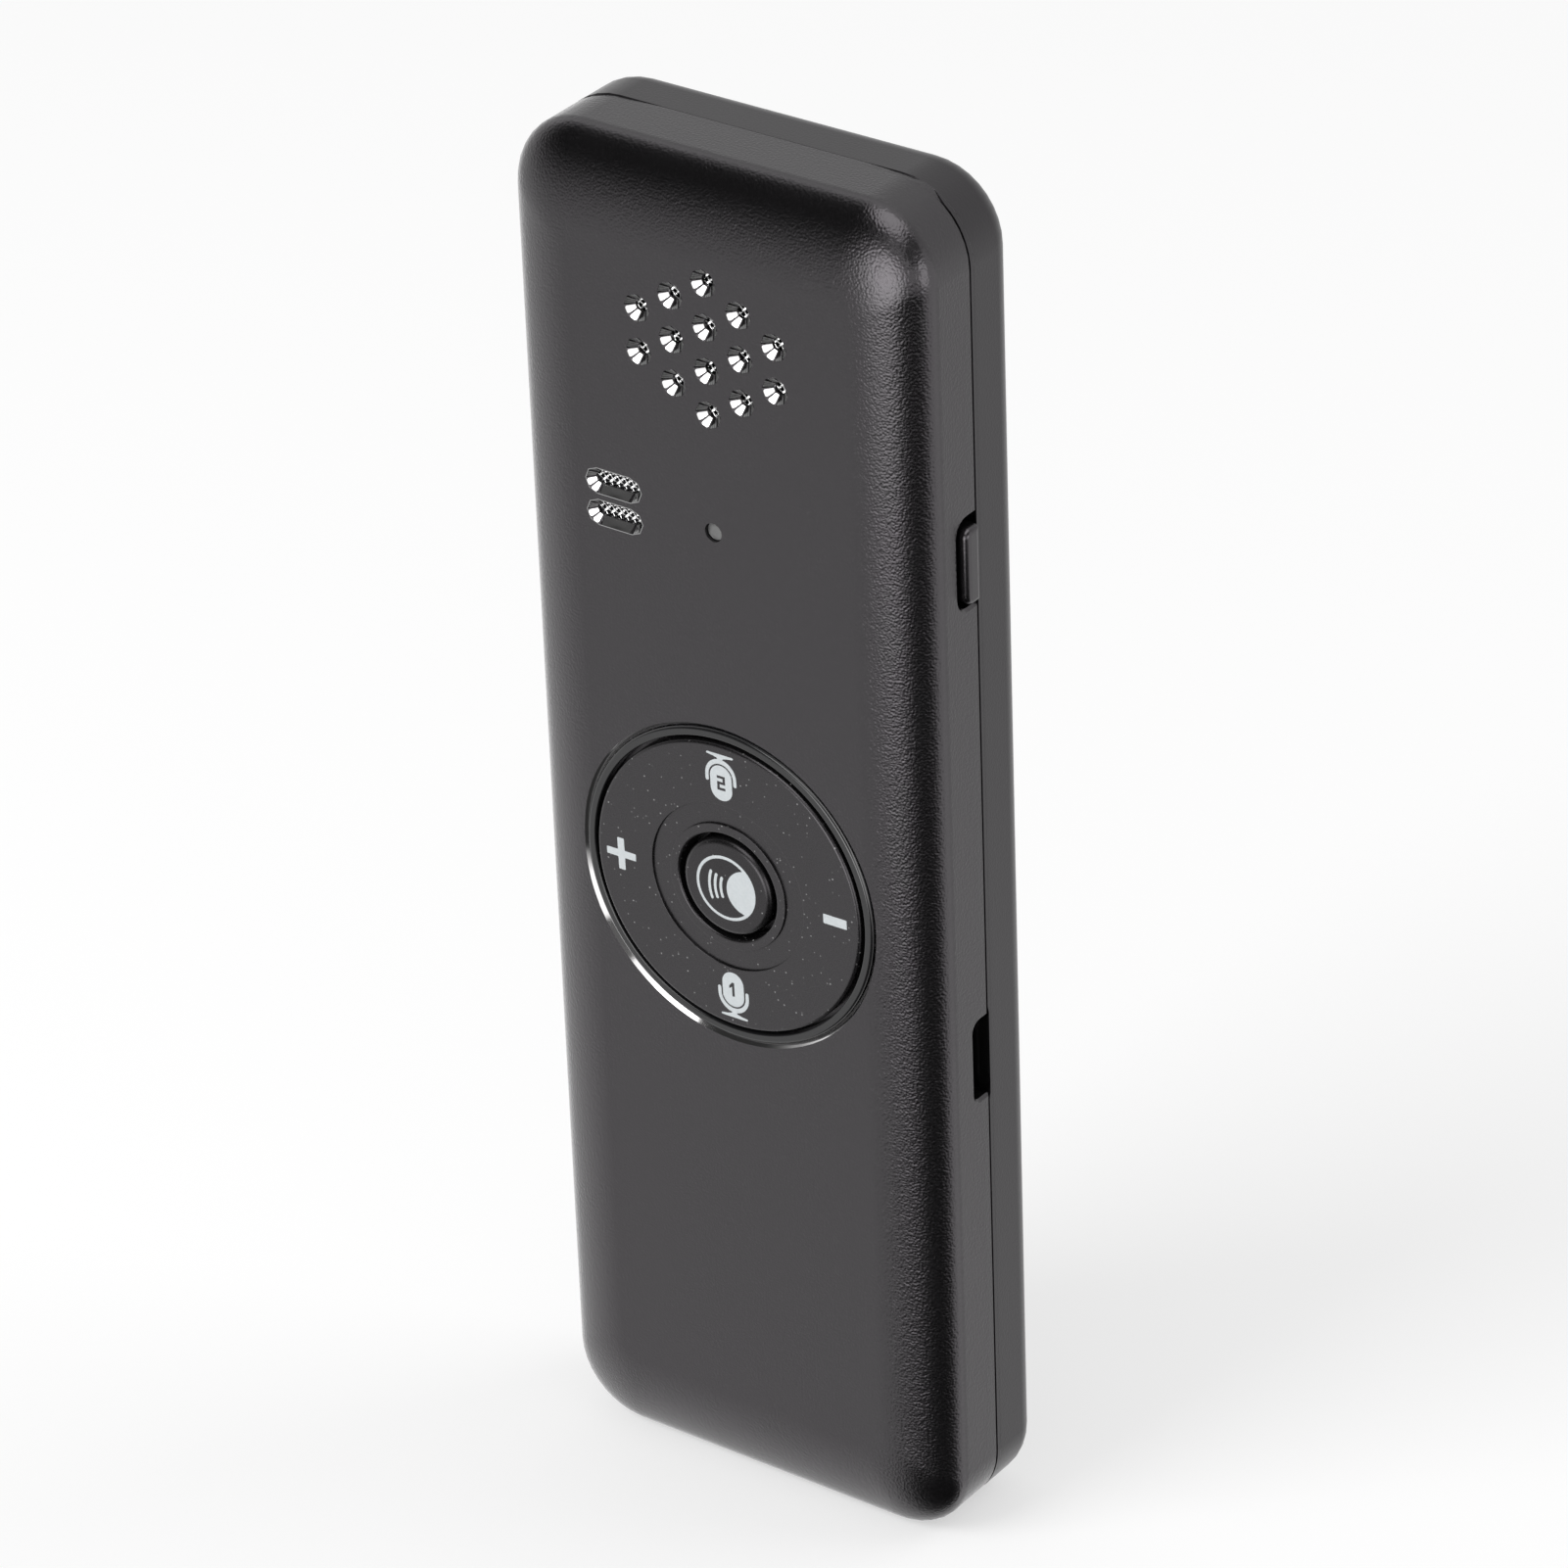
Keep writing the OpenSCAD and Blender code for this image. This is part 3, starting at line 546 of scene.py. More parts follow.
class Shading(Nodes):
    """A material's node tree, around its principled shader."""

    def __init__(self, name: str) -> None:
        """Starts an empty material.

        Args:
            name: Its name.
        """
        self.material = bpy.data.materials.new(name)
        self.material.use_nodes = True
        super().__init__(self.material.node_tree)
        self.surface = self.tree.nodes["Principled BSDF"]
        self.place = self.node("ShaderNodeTexCoord").outputs["Object"]

    def plain(self, **values: object) -> None:
        """Sets values that are the same all over the surface, by socket name with _ for a space."""
        for key, value in values.items():
            self.surface.inputs[key.replace("_", " ")].default_value = value

    def noise(self, size: float, detail: float = 2.0, stretch: Colour = (1, 1, 1)) -> Socket:
        """Adds a noise.

        Args:
            size: About the size of its patches.
            detail: How many finer layers it has.
            stretch: How closely it is packed along each axis.

        Returns:
            Its value.
        """
        grain = self.node("ShaderNodeTexNoise", Scale=1 / size, Detail=detail)
        if stretch == (1, 1, 1):
            self.feed(grain.inputs["Vector"], self.place)
        else:
            mapping = self.node("ShaderNodeMapping", Scale=stretch)
            self.feed(mapping.inputs["Vector"], self.place)
            self.feed(grain.inputs["Vector"], mapping.outputs["Vector"])
        return grain.outputs[0]

    def cells(self, size: float, feature: str = "F1") -> bpy.types.Node:
        """Adds a pattern of cells.

        Args:
            size: About the size of a cell.
            feature: What its distance counts from.

        Returns:
            The node, with the distance and one colour for each cell.
        """
        pattern = self.node("ShaderNodeTexVoronoi", Scale=1 / size, feature=feature)
        self.feed(pattern.inputs["Vector"], self.place)
        return pattern

    def blend(self, factor: Socket, low: Colour, high: Colour) -> Socket:
        """Blends two colours.

        Args:
            factor: How much of the second one there is, from 0 to 1.
            low: The first colour.
            high: The second colour.

        Returns:
            The blended colour.
        """
        ramp = self.node("ShaderNodeValToRGB")
        ramp.color_ramp.elements[0].color = (*low, 1)
        ramp.color_ramp.elements[1].color = (*high, 1)
        self.feed(ramp.inputs[0], factor)
        return ramp.outputs["Color"]

    def bumps(self, height: Socket, depth: float, strength: float = 1.0,
              below: Socket | None = None) -> Socket:
        """Adds bumps.

        Args:
            height: Their height, from 0 to 1.
            depth: The height that 1 stands for.
            strength: How much they show, from 0 to 1.
            below: The normal that they lie on, where it isn't the surface's own.

        Returns:
            The normal with the bumps.
        """
        bump = self.node("ShaderNodeBump", Strength=strength, Distance=depth)
        self.feed(bump.inputs["Height"], height)
        if below is not None:
            self.feed(bump.inputs["Normal"], below)
        return bump.outputs["Normal"]

    def soft_edges(self, radius: float, samples: int = 6) -> Socket:
        """Rounds the shading of sharp edges."""
        return self.node("ShaderNodeBevel", samples=samples, Radius=radius).outputs["Normal"]

    def use(self, source: Socket, socket: str) -> None:
        """Links a value to a socket of the shader."""
        self.feed(self.surface.inputs[socket], source)

    def coat(self, source: Socket, colours: Pair, roughness: Flat, depth: float,
             strength: float = 1.0, span: Flat = NOISE_SPAN) -> None:
        """Lets one pattern set the colour, the roughness and the bumps.

        Args:
            source: The pattern's value.
            colours: Colours at its low and at its high end.
            roughness: Roughness at its low and at its high end.
            depth: Depth of the bumps.
            strength: How much they show, from 0 to 1.
            span: The pattern's values between which the roughness changes.
        """
        self.use(self.blend(source, *colours), "Base Color")
        self.use(self.ranged(source, span, roughness), "Roughness")
        self.use(self.bumps(source, depth, strength), "Normal")


@dataclass(frozen=True)
class Finish(ABC):
    """A surface finish. Each finish makes one material and keeps it."""

    name: str

    @abstractmethod
    def dress(self, shade: Shading) -> None:
        """Builds the finish in a material's nodes.

        Args:
            shade: Those nodes.
        """

    def material(self) -> bpy.types.Material:
        """Gives the finish's material, which is made at its first use."""
        found = bpy.data.materials.get(self.name)
        if found is None:
            shade = Shading(self.name)
            self.dress(shade)
            found = shade.material
        return found


@dataclass(frozen=True)
class SatinCover(Finish):
    """Black satin coat with a pebbled grain, and soft shading at its sharp edges."""

    colours: Pair = ((0.0030, 0.0029, 0.0031), (0.0044, 0.0042, 0.0044))
    sheen_tint: Colour = (1.0, 0.945, 1.0)
    roughness: Flat = (0.22, 0.26)
    grain: float = 0.2 * MM
    grain_depth: float = 0.024 * MM
    cloud: float = 7 * MM
    edge: float = 0.03 * MM
    ior: float = 1.6

    def dress(self, shade: Shading) -> None:
        """Builds the coat.

        Args:
            shade: The material's nodes.
        """
        shade.plain(IOR=self.ior, Specular_Tint=(*self.sheen_tint, 1))
        shade.use(shade.blend(shade.noise(self.cloud), *self.colours), "Base Color")
        shade.use(shade.ranged(shade.noise(self.grain, detail=3), NOISE_SPAN, self.roughness), "Roughness")
        pebbles = shade.noise(self.grain, detail=0)
        shade.use(shade.bumps(pebbles, self.grain_depth, below=shade.soft_edges(self.edge)), "Normal")


@dataclass(frozen=True)
class BrightCut(Finish):
    """Bright metal left by a cutter, with its fine lines."""

    colours: Pair = ((0.74, 0.73, 0.73), (0.84, 0.83, 0.83))
    roughness: Flat = (0.06, 0.11)
    line: float = 0.05 * MM
    line_depth: float = 0.0004 * MM
    stretch: Colour = (1, 1, 0.2)

    def dress(self, shade: Shading) -> None:
        """Builds the cut metal.

        Args:
            shade: The material's nodes.
        """
        shade.plain(Metallic=1.0)
        lines = shade.noise(self.line, detail=1, stretch=self.stretch)
        shade.coat(lines, self.colours, self.roughness, self.line_depth)


@dataclass(frozen=True)
class GlossRing(Finish):
    """Polished black moulding, with a faint ripple and a few fine scuffs."""

    colours: Pair = ((0.010, 0.010, 0.011), (0.016, 0.016, 0.017))
    roughness: Flat = (0.10, 0.2)
    scuff: float = 0.12 * MM
    scuff_span: Flat = (0.4, 0.75)
    ripple: float = 1.6 * MM
    ripple_depth: float = 0.004 * MM
    ior: float = 1.55

    def dress(self, shade: Shading) -> None:
        """Builds the gloss.

        Args:
            shade: The material's nodes.
        """
        shade.plain(IOR=self.ior)
        scuffs = shade.noise(self.scuff, detail=3)
        shade.use(shade.blend(scuffs, *self.colours), "Base Color")
        shade.use(shade.ranged(scuffs, self.scuff_span, self.roughness), "Roughness")
        shade.use(shade.bumps(shade.noise(self.ripple, detail=1), self.ripple_depth), "Normal")


@dataclass(frozen=True)
class SpeckledPlastic(Finish):
    """Dark moulded plastic with a fine grain and scattered light specks."""

    colours: Pair = ((0.0060, 0.0058, 0.0062), (0.0085, 0.0082, 0.0086))
    speck: Colour = (0.40, 0.40, 0.40)
    sheen_tint: Colour = (1.0, 0.95, 1.0)
    roughness: Flat = (0.26, 0.33)
    speck_pitch: float = 0.3 * MM
    speck_share: float = 0.87
    speck_edge: Flat = (0.12, 0.32)
    cloud: float = 3 * MM
    grain: float = 0.14 * MM
    grain_depth: float = 0.003 * MM
    ior: float = 1.53

    def dress(self, shade: Shading) -> None:
        """Builds the plastic and its specks.

        Args:
            shade: The material's nodes.
        """
        shade.plain(IOR=self.ior, Specular_Tint=(*self.sheen_tint, 1))
        specks = shade.cells(self.speck_pitch)
        split = shade.node("ShaderNodeSeparateColor")
        shade.feed(split.inputs[0], specks.outputs["Color"])
        chosen = shade.ranged(split.outputs[0], (self.speck_share, 1.0), (0, 1))
        spot = shade.ranged(specks.outputs["Distance"], self.speck_edge, (1, 0))
        mixed = shade.node("ShaderNodeMix", data_type="RGBA")
        shade.feed(mixed.inputs[0], shade.math("MULTIPLY", chosen, spot))
        shade.feed(mixed.inputs[6], shade.blend(shade.noise(self.cloud), *self.colours))
        mixed.inputs[7].default_value = (*self.speck, 1)
        shade.use(mixed.outputs[2], "Base Color")
        fine = shade.noise(self.grain, detail=3)
        shade.use(shade.ranged(fine, NOISE_SPAN, self.roughness), "Roughness")
        shade.use(shade.bumps(fine, self.grain_depth), "Normal")


@dataclass(frozen=True)
class Ink(Finish):
    """White screen print, a little uneven."""

    colours: Pair = ((0.70, 0.75, 0.77), (0.84, 0.88, 0.90))
    roughness: Flat = (0.45, 0.6)
    grain: float = 0.25 * MM
    depth: float = 0.004 * MM
    strength: float = 0.6

    def dress(self, shade: Shading) -> None:
        """Builds the print."""
        shade.coat(shade.noise(self.grain, detail=3), self.colours, self.roughness, self.depth, self.strength)


@dataclass(frozen=True)
class Grained(Finish):
    """A surface with a grain: moulded plastic, rubber, film, plate or wire."""

    colours: Pair
    roughness: Flat
    grain: float
    depth: float
    metallic: float = 0.0
    stretch: Colour = (1, 1, 1)
    strength: float = 0.8

    def dress(self, shade: Shading) -> None:
        """Builds the grained surface.

        Args:
            shade: The material's nodes.
        """
        shade.plain(Metallic=self.metallic)
        fine = shade.noise(self.grain, detail=3, stretch=self.stretch)
        shade.coat(fine, self.colours, self.roughness, self.depth, self.strength)


@dataclass(frozen=True)
class Foam(Finish):
    """Open-celled black foam."""

    colours: Pair = ((0.006, 0.006, 0.007), (0.045, 0.045, 0.05))
    roughness: Flat = (0.8, 0.98)
    cell: float = 0.3 * MM
    depth: float = 0.1 * MM

    def dress(self, shade: Shading) -> None:
        """Builds the foam."""
        cells = shade.cells(self.cell).outputs["Distance"]
        shade.coat(cells, self.colours, self.roughness, self.depth, span=(0, 1))


@dataclass(frozen=True)
class MilkyPipe(Finish):
    """Milky clear plastic that leads the light out."""

    colours: Pair = ((0.17, 0.17, 0.17), (0.27, 0.27, 0.27))
    roughness: Flat = (0.35, 0.5)
    grain: float = 0.5 * MM
    depth: float = 0.01 * MM
    strength: float = 0.5
    milk: float = 0.3
    milk_reach: float = 0.6 * MM

    def dress(self, shade: Shading) -> None:
        """Builds the milky plastic."""
        shade.coat(shade.noise(self.grain), self.colours, self.roughness, self.depth, self.strength)
        shade.plain(Subsurface_Weight=self.milk, Subsurface_Scale=self.milk_reach,
                    Subsurface_Radius=(1.0, 1.0, 1.0))


@dataclass(frozen=True)
class SolderMask(Finish):
    """Green board lacquer, raised over its traces."""

    colours: Pair = ((0.004, 0.045, 0.02), (0.012, 0.11, 0.05))
    roughness: Flat = (0.22, 0.34)
    cloud: float = 0.6 * MM
    trace_pitch: float = 1.9 * MM
    trace_edge: Flat = (0.05, 0.08)
    trace_height: float = 0.035 * MM

    def dress(self, shade: Shading) -> None:
        """Builds the lacquer and the traces under it.

        Args:
            shade: The material's nodes.
        """
        borders = shade.cells(self.trace_pitch, "DISTANCE_TO_EDGE").outputs["Distance"]
        traces = shade.ranged(borders, self.trace_edge, (1, 0))
        shade.use(shade.blend(traces, *self.colours), "Base Color")
        shade.use(shade.ranged(shade.noise(self.cloud), NOISE_SPAN, self.roughness), "Roughness")
        shade.use(shade.bumps(traces, self.trace_height), "Normal")


def greys(low: float, high: float) -> Pair:
    """Gives two greys."""
    return (low, low, low), (high, high, high)


COVER = SatinCover("cover_coat")
BACK_COVER = SatinCover("back_coat", roughness=(0.30, 0.35), grain_depth=0.008 * MM, ior=1.5)
KEY_COAT = SatinCover("key_coat", grain_depth=0.004 * MM)
BRIGHT = BrightCut("bright_cut")
# Painted shade: the same cut metal made dark, for the facets on the upper right of each hole and slot end,
# which turn away from the bright reflections.
PAINTED_SHADE_CUT = BrightCut("painted_shade_cut", greys(0.13, 0.17))
# Painted highlight and painted shade: a grey copy of the cut metal, for the thin lines round the slots, which
# stand in for their rims catching the light, and for the lower-right facets.
RIM_HIGHLIGHT_AND_SHADE = BrightCut("rim_highlight_and_shade_cut", greys(0.32, 0.40))
# Painted shade: the same cut metal in mid grey, for facets that turn partly away from the bright reflections.
HALF_SHADE_CUT = BrightCut("half_shade_cut", greys(0.36, 0.48), (0.40, 0.50))
GLOSS = GlossRing("gloss_moulding")
DISC = SpeckledPlastic("speckled_plastic")
BUTTON = SpeckledPlastic("button_moulding", speck_share=0.96, ior=1.45)
INK = Ink("white_print")
RUBBER = Grained("grey_rubber", ((0.07, 0.07, 0.078), (0.11, 0.11, 0.12)), (0.6, 0.75), 0.3 * MM, 0.01 * MM)
BLACK = Grained("black_moulding", ((0.006, 0.006, 0.007), (0.011, 0.011, 0.012)), (0.4, 0.55),
                0.2 * MM, 0.004 * MM)
WHITE = Grained("white_moulding", ((0.62, 0.62, 0.58), (0.74, 0.74, 0.70)), (0.4, 0.5), 0.4 * MM, 0.004 * MM)
CONE = Grained("pressed_film", ((0.008, 0.008, 0.009), (0.014, 0.014, 0.015)), (0.5, 0.6),
               0.25 * MM, 0.01 * MM)
TAPE = Grained("sticky_film", ((0.55, 0.55, 0.50), (0.68, 0.68, 0.62)), (0.4, 0.6), 0.7 * MM, 0.01 * MM)
WIRE = Grained("bright_wire", greys(0.80, 0.90), (0.1, 0.18), 0.2 * MM, 0.002 * MM, 1.0)
NICKEL = Grained("nickel_plate", ((0.50, 0.50, 0.51), (0.62, 0.62, 0.62)), (0.22, 0.36),
                 0.5 * MM, 0.003 * MM, 1.0, (1, 1, 0.1))
ZINC = Grained("zinc_plate", ((0.26, 0.26, 0.28), (0.40, 0.40, 0.42)), (0.3, 0.45), 0.3 * MM, 0.004 * MM, 1.0)
GOLD = Grained("gold_contact", ((0.68, 0.46, 0.17), (0.80, 0.56, 0.24)), (0.2, 0.3),
               0.2 * MM, 0.002 * MM, 1.0)
FOIL = Grained("cell_foil", ((0.42, 0.43, 0.46), (0.56, 0.57, 0.60)), (0.25, 0.4),
               0.9 * MM, 0.02 * MM, 1.0, (1, 1, 0.15))
FOAM = Foam("black_foam")
MILKY = MilkyPipe("milky_pipe")
LACQUER = SolderMask("board_lacquer")


def paint(piece: bpy.types.Object, *finishes: Finish) -> None:
    """Gives an object its finishes.

    Args:
        piece: The object.
        *finishes: One finish per material slot.
    """
    piece.data.materials.clear()
    for finish in finishes:
        piece.data.materials.append(finish.material())


def dress_node(node: str, *finishes: Finish, smooth_below: float = 28.0) -> bpy.types.Object:
    """Dresses a CAD node and smooths its shading.

    Args:
        node: The node's name.
        *finishes: Its finishes, the main one first.
        smooth_below: Faces that meet at less than this angle, in degrees, shade as one.

    Returns:
        The node's object.
    """
    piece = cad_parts[node]
    set_normals(piece, corner_normals(piece.data, smooth_below))
    paint(piece, *finishes)
    return piece


def place(piece: bpy.types.Object, body: Body, slot: str, *finishes: Finish) -> None:
    """Dresses a new piece and lets it ride on a body.

    Args:
        piece: The new piece.
        body: The body that carries it.
        slot: The record's material slot of the piece. Not used.
        *finishes: Its finishes.
    """
    paint(piece, *finishes)
    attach(piece, body.value)


# ------------------------------------------------------------------ studio


def towards(azimuth: float, elevation: float) -> Vector:
    """Gives the direction from the object to a place around it.

    Args:
        azimuth: The place's angle from the front towards the object's right side, in degrees.
        elevation: Its height above the horizon, in degrees.

    Returns:
        The direction, one long.
    """
    a = math.radians(azimuth)
    e = math.radians(elevation)
    return Vector((math.sin(a) * math.cos(e), -math.cos(a) * math.cos(e), math.sin(e)))


@dataclass(frozen=True)
class Patch:
    """A round patch of the surroundings, as a gloss surface sees it.

    Attributes:
        azimuth: Direction from the object, in degrees from the front towards its right side.
        elevation: Height above the horizon, in degrees.
        inner: Angle from the middle within which the patch has its full level, in degrees.
        outer: Angle at which it has faded out, in degrees.
        level: Its brightness, where 1 is white.
    """

    azimuth: float
    elevation: float
    inner: float
    outer: float
    level: float


@dataclass
class Studio:
    """Camera, floor, lamps and the pale surroundings.

    Attributes:
        aim: Point on the camera's axis.
        azimuth: The camera's direction from the object, in degrees to the right of the front.
        elevation: The camera's height above the horizon, in degrees.
        roll: The camera's turn about its own axis, in degrees.
        distance: From the aim to the camera.
        lens: Focal length in millimetres.
        sensor: Width of the sensor in millimetres.
        reach: Nearest and farthest distance that the camera sees.
        floor_half: Half the floor's side.
        floor_drop: How far the floor lies under the object's foot.
        floor_tones: Darkest and lightest tone of the floor.
        floor_cloud: Size of its cloudy patches.
        floor_rough: Its roughness.
        floor_glow: How much it glows where it is seen.
        plain_level: Brightness of the surroundings for all that isn't gloss.
        key: Place and power in watts of the key light.
        fill: Place and power in watts of the fill light.
        lamp_size: Side of both lights.
        patches: The patches, each laid over the ones before it.
    """

    aim: Triple = (-0.41 * MM, 1.75 * MM, 65.38 * MM)
    azimuth: float = 36.754
    elevation: float = 29.797
    roll: float = 2.187
    distance: float = 616.64 * MM
    lens: float = 170.64
    sensor: float = 36.0
    reach: Flat = (0.01, 20.0)
    floor_half: float = 3.0
    floor_drop: float = 0.15 * MM
    floor_tones: Pair = greys(0.50, 0.52)
    floor_cloud: float = 0.5
    floor_rough: float = 0.9
    floor_glow: float = 0.53
    plain_level: float = 0.5
    key: tuple[Triple, float] = ((-0.35, -0.75, 0.75), 6.0)
    fill: tuple[Triple, float] = ((0.6, 0.5, 0.8), 2.5)
    lamp_size: float = 0.6
    patches: tuple[Patch, ...] = (
        Patch(-130, -23, 15, 37, 1.55),
        Patch(71, -27, 56, 63, 1.5),
        Patch(-73, -42, 1.5, 30, 1.32),
        Patch(-72, 71, 50, 54, 1.46),
        Patch(34, -52, 27, 45, 0.03),
        Patch(-41, 32, 14, 54, 0.03),
        Patch(1, -8, 1.5, 24, 5.7),
        Patch(40, 19, 9.5, 14, 0.12),
        Patch(28, 33, 4, 6, 1.3),
        Patch(8, 51, 12.5, 16.5, 3.5),
        Patch(48, -2, 10, 14, 1.35),
        Patch(34, 65, 20, 32, 3.5),
        Patch(69, 2, 14.5, 16, 3.5),
        Patch(65, 35, 15, 25, 0.34),
        Patch(-150, 24, 22, 42, 0.88),
        Patch(143, -30, 12, 24, 0.97),
    )

    def build(self) -> None:
        """Builds the whole studio."""
        self.camera()
        self.floor()
        self.surroundings()
        self.lamp("key_light", *self.key)
        self.lamp("fill_light", *self.fill)
        bpy.context.scene.view_settings.view_transform = "Standard"

    def camera(self) -> None:
        """Sets the camera at its azimuth, elevation, roll and distance."""
        a = math.radians(self.azimuth)
        roll = math.radians(self.roll)
        back = towards(self.azimuth, self.elevation)
        level = Vector((math.cos(a), math.sin(a), 0))
        up = math.cos(roll) * back.cross(level) + math.sin(roll) * level
        right = up.cross(back)
        data = bpy.data.cameras.new("camera")
        data.lens = self.lens
        data.sensor_width = self.sensor
        data.clip_start, data.clip_end = self.reach
        eye = bpy.data.objects.new("camera", data)
        spot = Vector(self.aim) + self.distance * back
        eye.matrix_world = Matrix.Translation(spot) @ Matrix((right, up, back)).transposed().to_4x4()
        bpy.context.scene.collection.objects.link(eye)
        bpy.context.scene.camera = eye

    def floor(self) -> None:
        """Lays the pale floor, which takes the object's shadow."""
        half = self.floor_half
        corners = [(x * half, y * half, -self.floor_drop) for x, y in ((-1, -1), (1, -1), (1, 1), (-1, 1))]
        ground = new_piece("floor", corners, [(0, 1, 2, 3)])
        ground.visible_glossy = False
        shade = Shading("pale_floor")
        shade.use(shade.blend(shade.noise(self.floor_cloud, detail=1), *self.floor_tones), "Base Color")
        shade.plain(Roughness=self.floor_rough, Specular_IOR_Level=0.0, Emission_Color=(1, 1, 1, 1))
        path = shade.node("ShaderNodeLightPath")
        seen = path.outputs["Is Camera Ray"]
        for name in ("Is Glossy Ray", "Is Transmission Ray"):
            seen = shade.math("MAXIMUM", seen, path.outputs[name])
        shade.use(shade.math("MULTIPLY", seen, self.floor_glow), "Emission Strength")
        ground.data.materials.append(shade.material)

    def surroundings(self) -> None:
        """Builds the world: white where it is seen, with its patches in reflections."""
        world = bpy.data.worlds.new("studio")
        bpy.context.scene.world = world
        world.use_nodes = True
        nodes = Nodes(world.node_tree)
        glow = nodes.tree.nodes["Background"]
        glow.inputs["Color"].default_value = (1, 1, 1, 1)
        direction = nodes.node("ShaderNodeTexCoord").outputs["Generated"]
        level = 1.0
        for patch in self.patches:
            near = nodes.node("ShaderNodeVectorMath", operation="DOT_PRODUCT")
            near.inputs[1].default_value = towards(patch.azimuth, patch.elevation)
            nodes.feed(near.inputs[0], direction)
            edge = (math.cos(math.radians(patch.outer)), math.cos(math.radians(patch.inner)))
            level = nodes.mix(nodes.ranged(near.outputs["Value"], edge, (0, 1)), level, patch.level)
        path = nodes.node("ShaderNodeLightPath")
        gloss = nodes.math("MAXIMUM", path.outputs["Is Glossy Ray"], path.outputs["Is Transmission Ray"])
        lit = nodes.mix(gloss, self.plain_level, level)
        nodes.feed(glow.inputs["Strength"], nodes.mix(path.outputs["Is Camera Ray"], lit, 1.0))

    def lamp(self, name: str, spot: Triple, power: float) -> None:
        """Hangs a soft square lamp that faces the object.

        Args:
            name: The lamp's name.
            spot: Its place.
            power: Its power in watts.
        """
        data = bpy.data.lights.new(name, "AREA")
        data.size = self.lamp_size
        data.energy = power
        lamp = bpy.data.objects.new(name, data)
        lamp.location = spot
        facing = Vector(spot) - Vector(self.aim)
        lamp.rotation_euler = facing.to_track_quat("Z", "Y").to_euler()
        lamp.visible_camera = False
        lamp.visible_glossy = False
        bpy.context.scene.collection.objects.link(lamp)


# ------------------------------------------------------------------ covers


@dataclass
class SoftForm:
    """A cover's outer form, whose outline draws in along a quarter ellipse to its flat face.

    Attributes:
        width: Across the cover.
        height: From end to end.
        corner: Radius of the outline's corners.
        side: Width of the soft edge along the sides.
        end: Width of the soft edge along the ends.
        depth: Depth of the soft edge.
        tip: Corner radius that is left on the flat face.
        flat_y: Place of the flat face.
        way: 1 where the body lies behind the flat face, -1 where it lies before it.
    """

    width: float
    height: float
    corner: float
    side: float
    end: float
    depth: float
    tip: float
    flat_y: float
    way: int

    def normal_at(self, point: np.ndarray) -> np.ndarray:
        """Gives the true normal of the form.

        Args:
            point: A point on it.

        Returns:
            The normal there.
        """
        sunk = min(max(self.way * (point[1] - self.flat_y) / self.depth, 0.0), 1.0)
        cosine = 1 - sunk
        sine = math.sqrt(max(0.0, 1 - cosine * cosine))
        draw = 1 - sine
        radius = self.corner + (self.tip - self.corner) * draw
        core_x = self.width / 2 - self.side * draw - radius
        core_z = self.height / 2 - self.end * draw - radius
        off_x = abs(point[0]) - core_x
        off_z = abs(point[2] - self.height / 2) - core_z
        way_x = math.copysign(1, point[0])
        way_z = math.copysign(1, point[2] - self.height / 2)
        if off_x > 0 and off_z > 0:
            turn = math.atan2(off_z, off_x)
            across = Vector((way_x * math.cos(turn), way_z * math.sin(turn)))
            run = cosine * ((self.side + self.tip - self.corner) * math.cos(turn)
                            + (self.end + self.tip - self.corner) * math.sin(turn)
                            + self.corner - self.tip)
        elif off_x > off_z:
            across = Vector((way_x, 0))
            run = cosine * self.side
        else:
            across = Vector((0, way_z))
            run = cosine * self.end
        rise = self.depth * sine
        normal = np.array((across.x * rise, -self.way * run, across.y * rise))
        return normal / np.linalg.norm(normal)


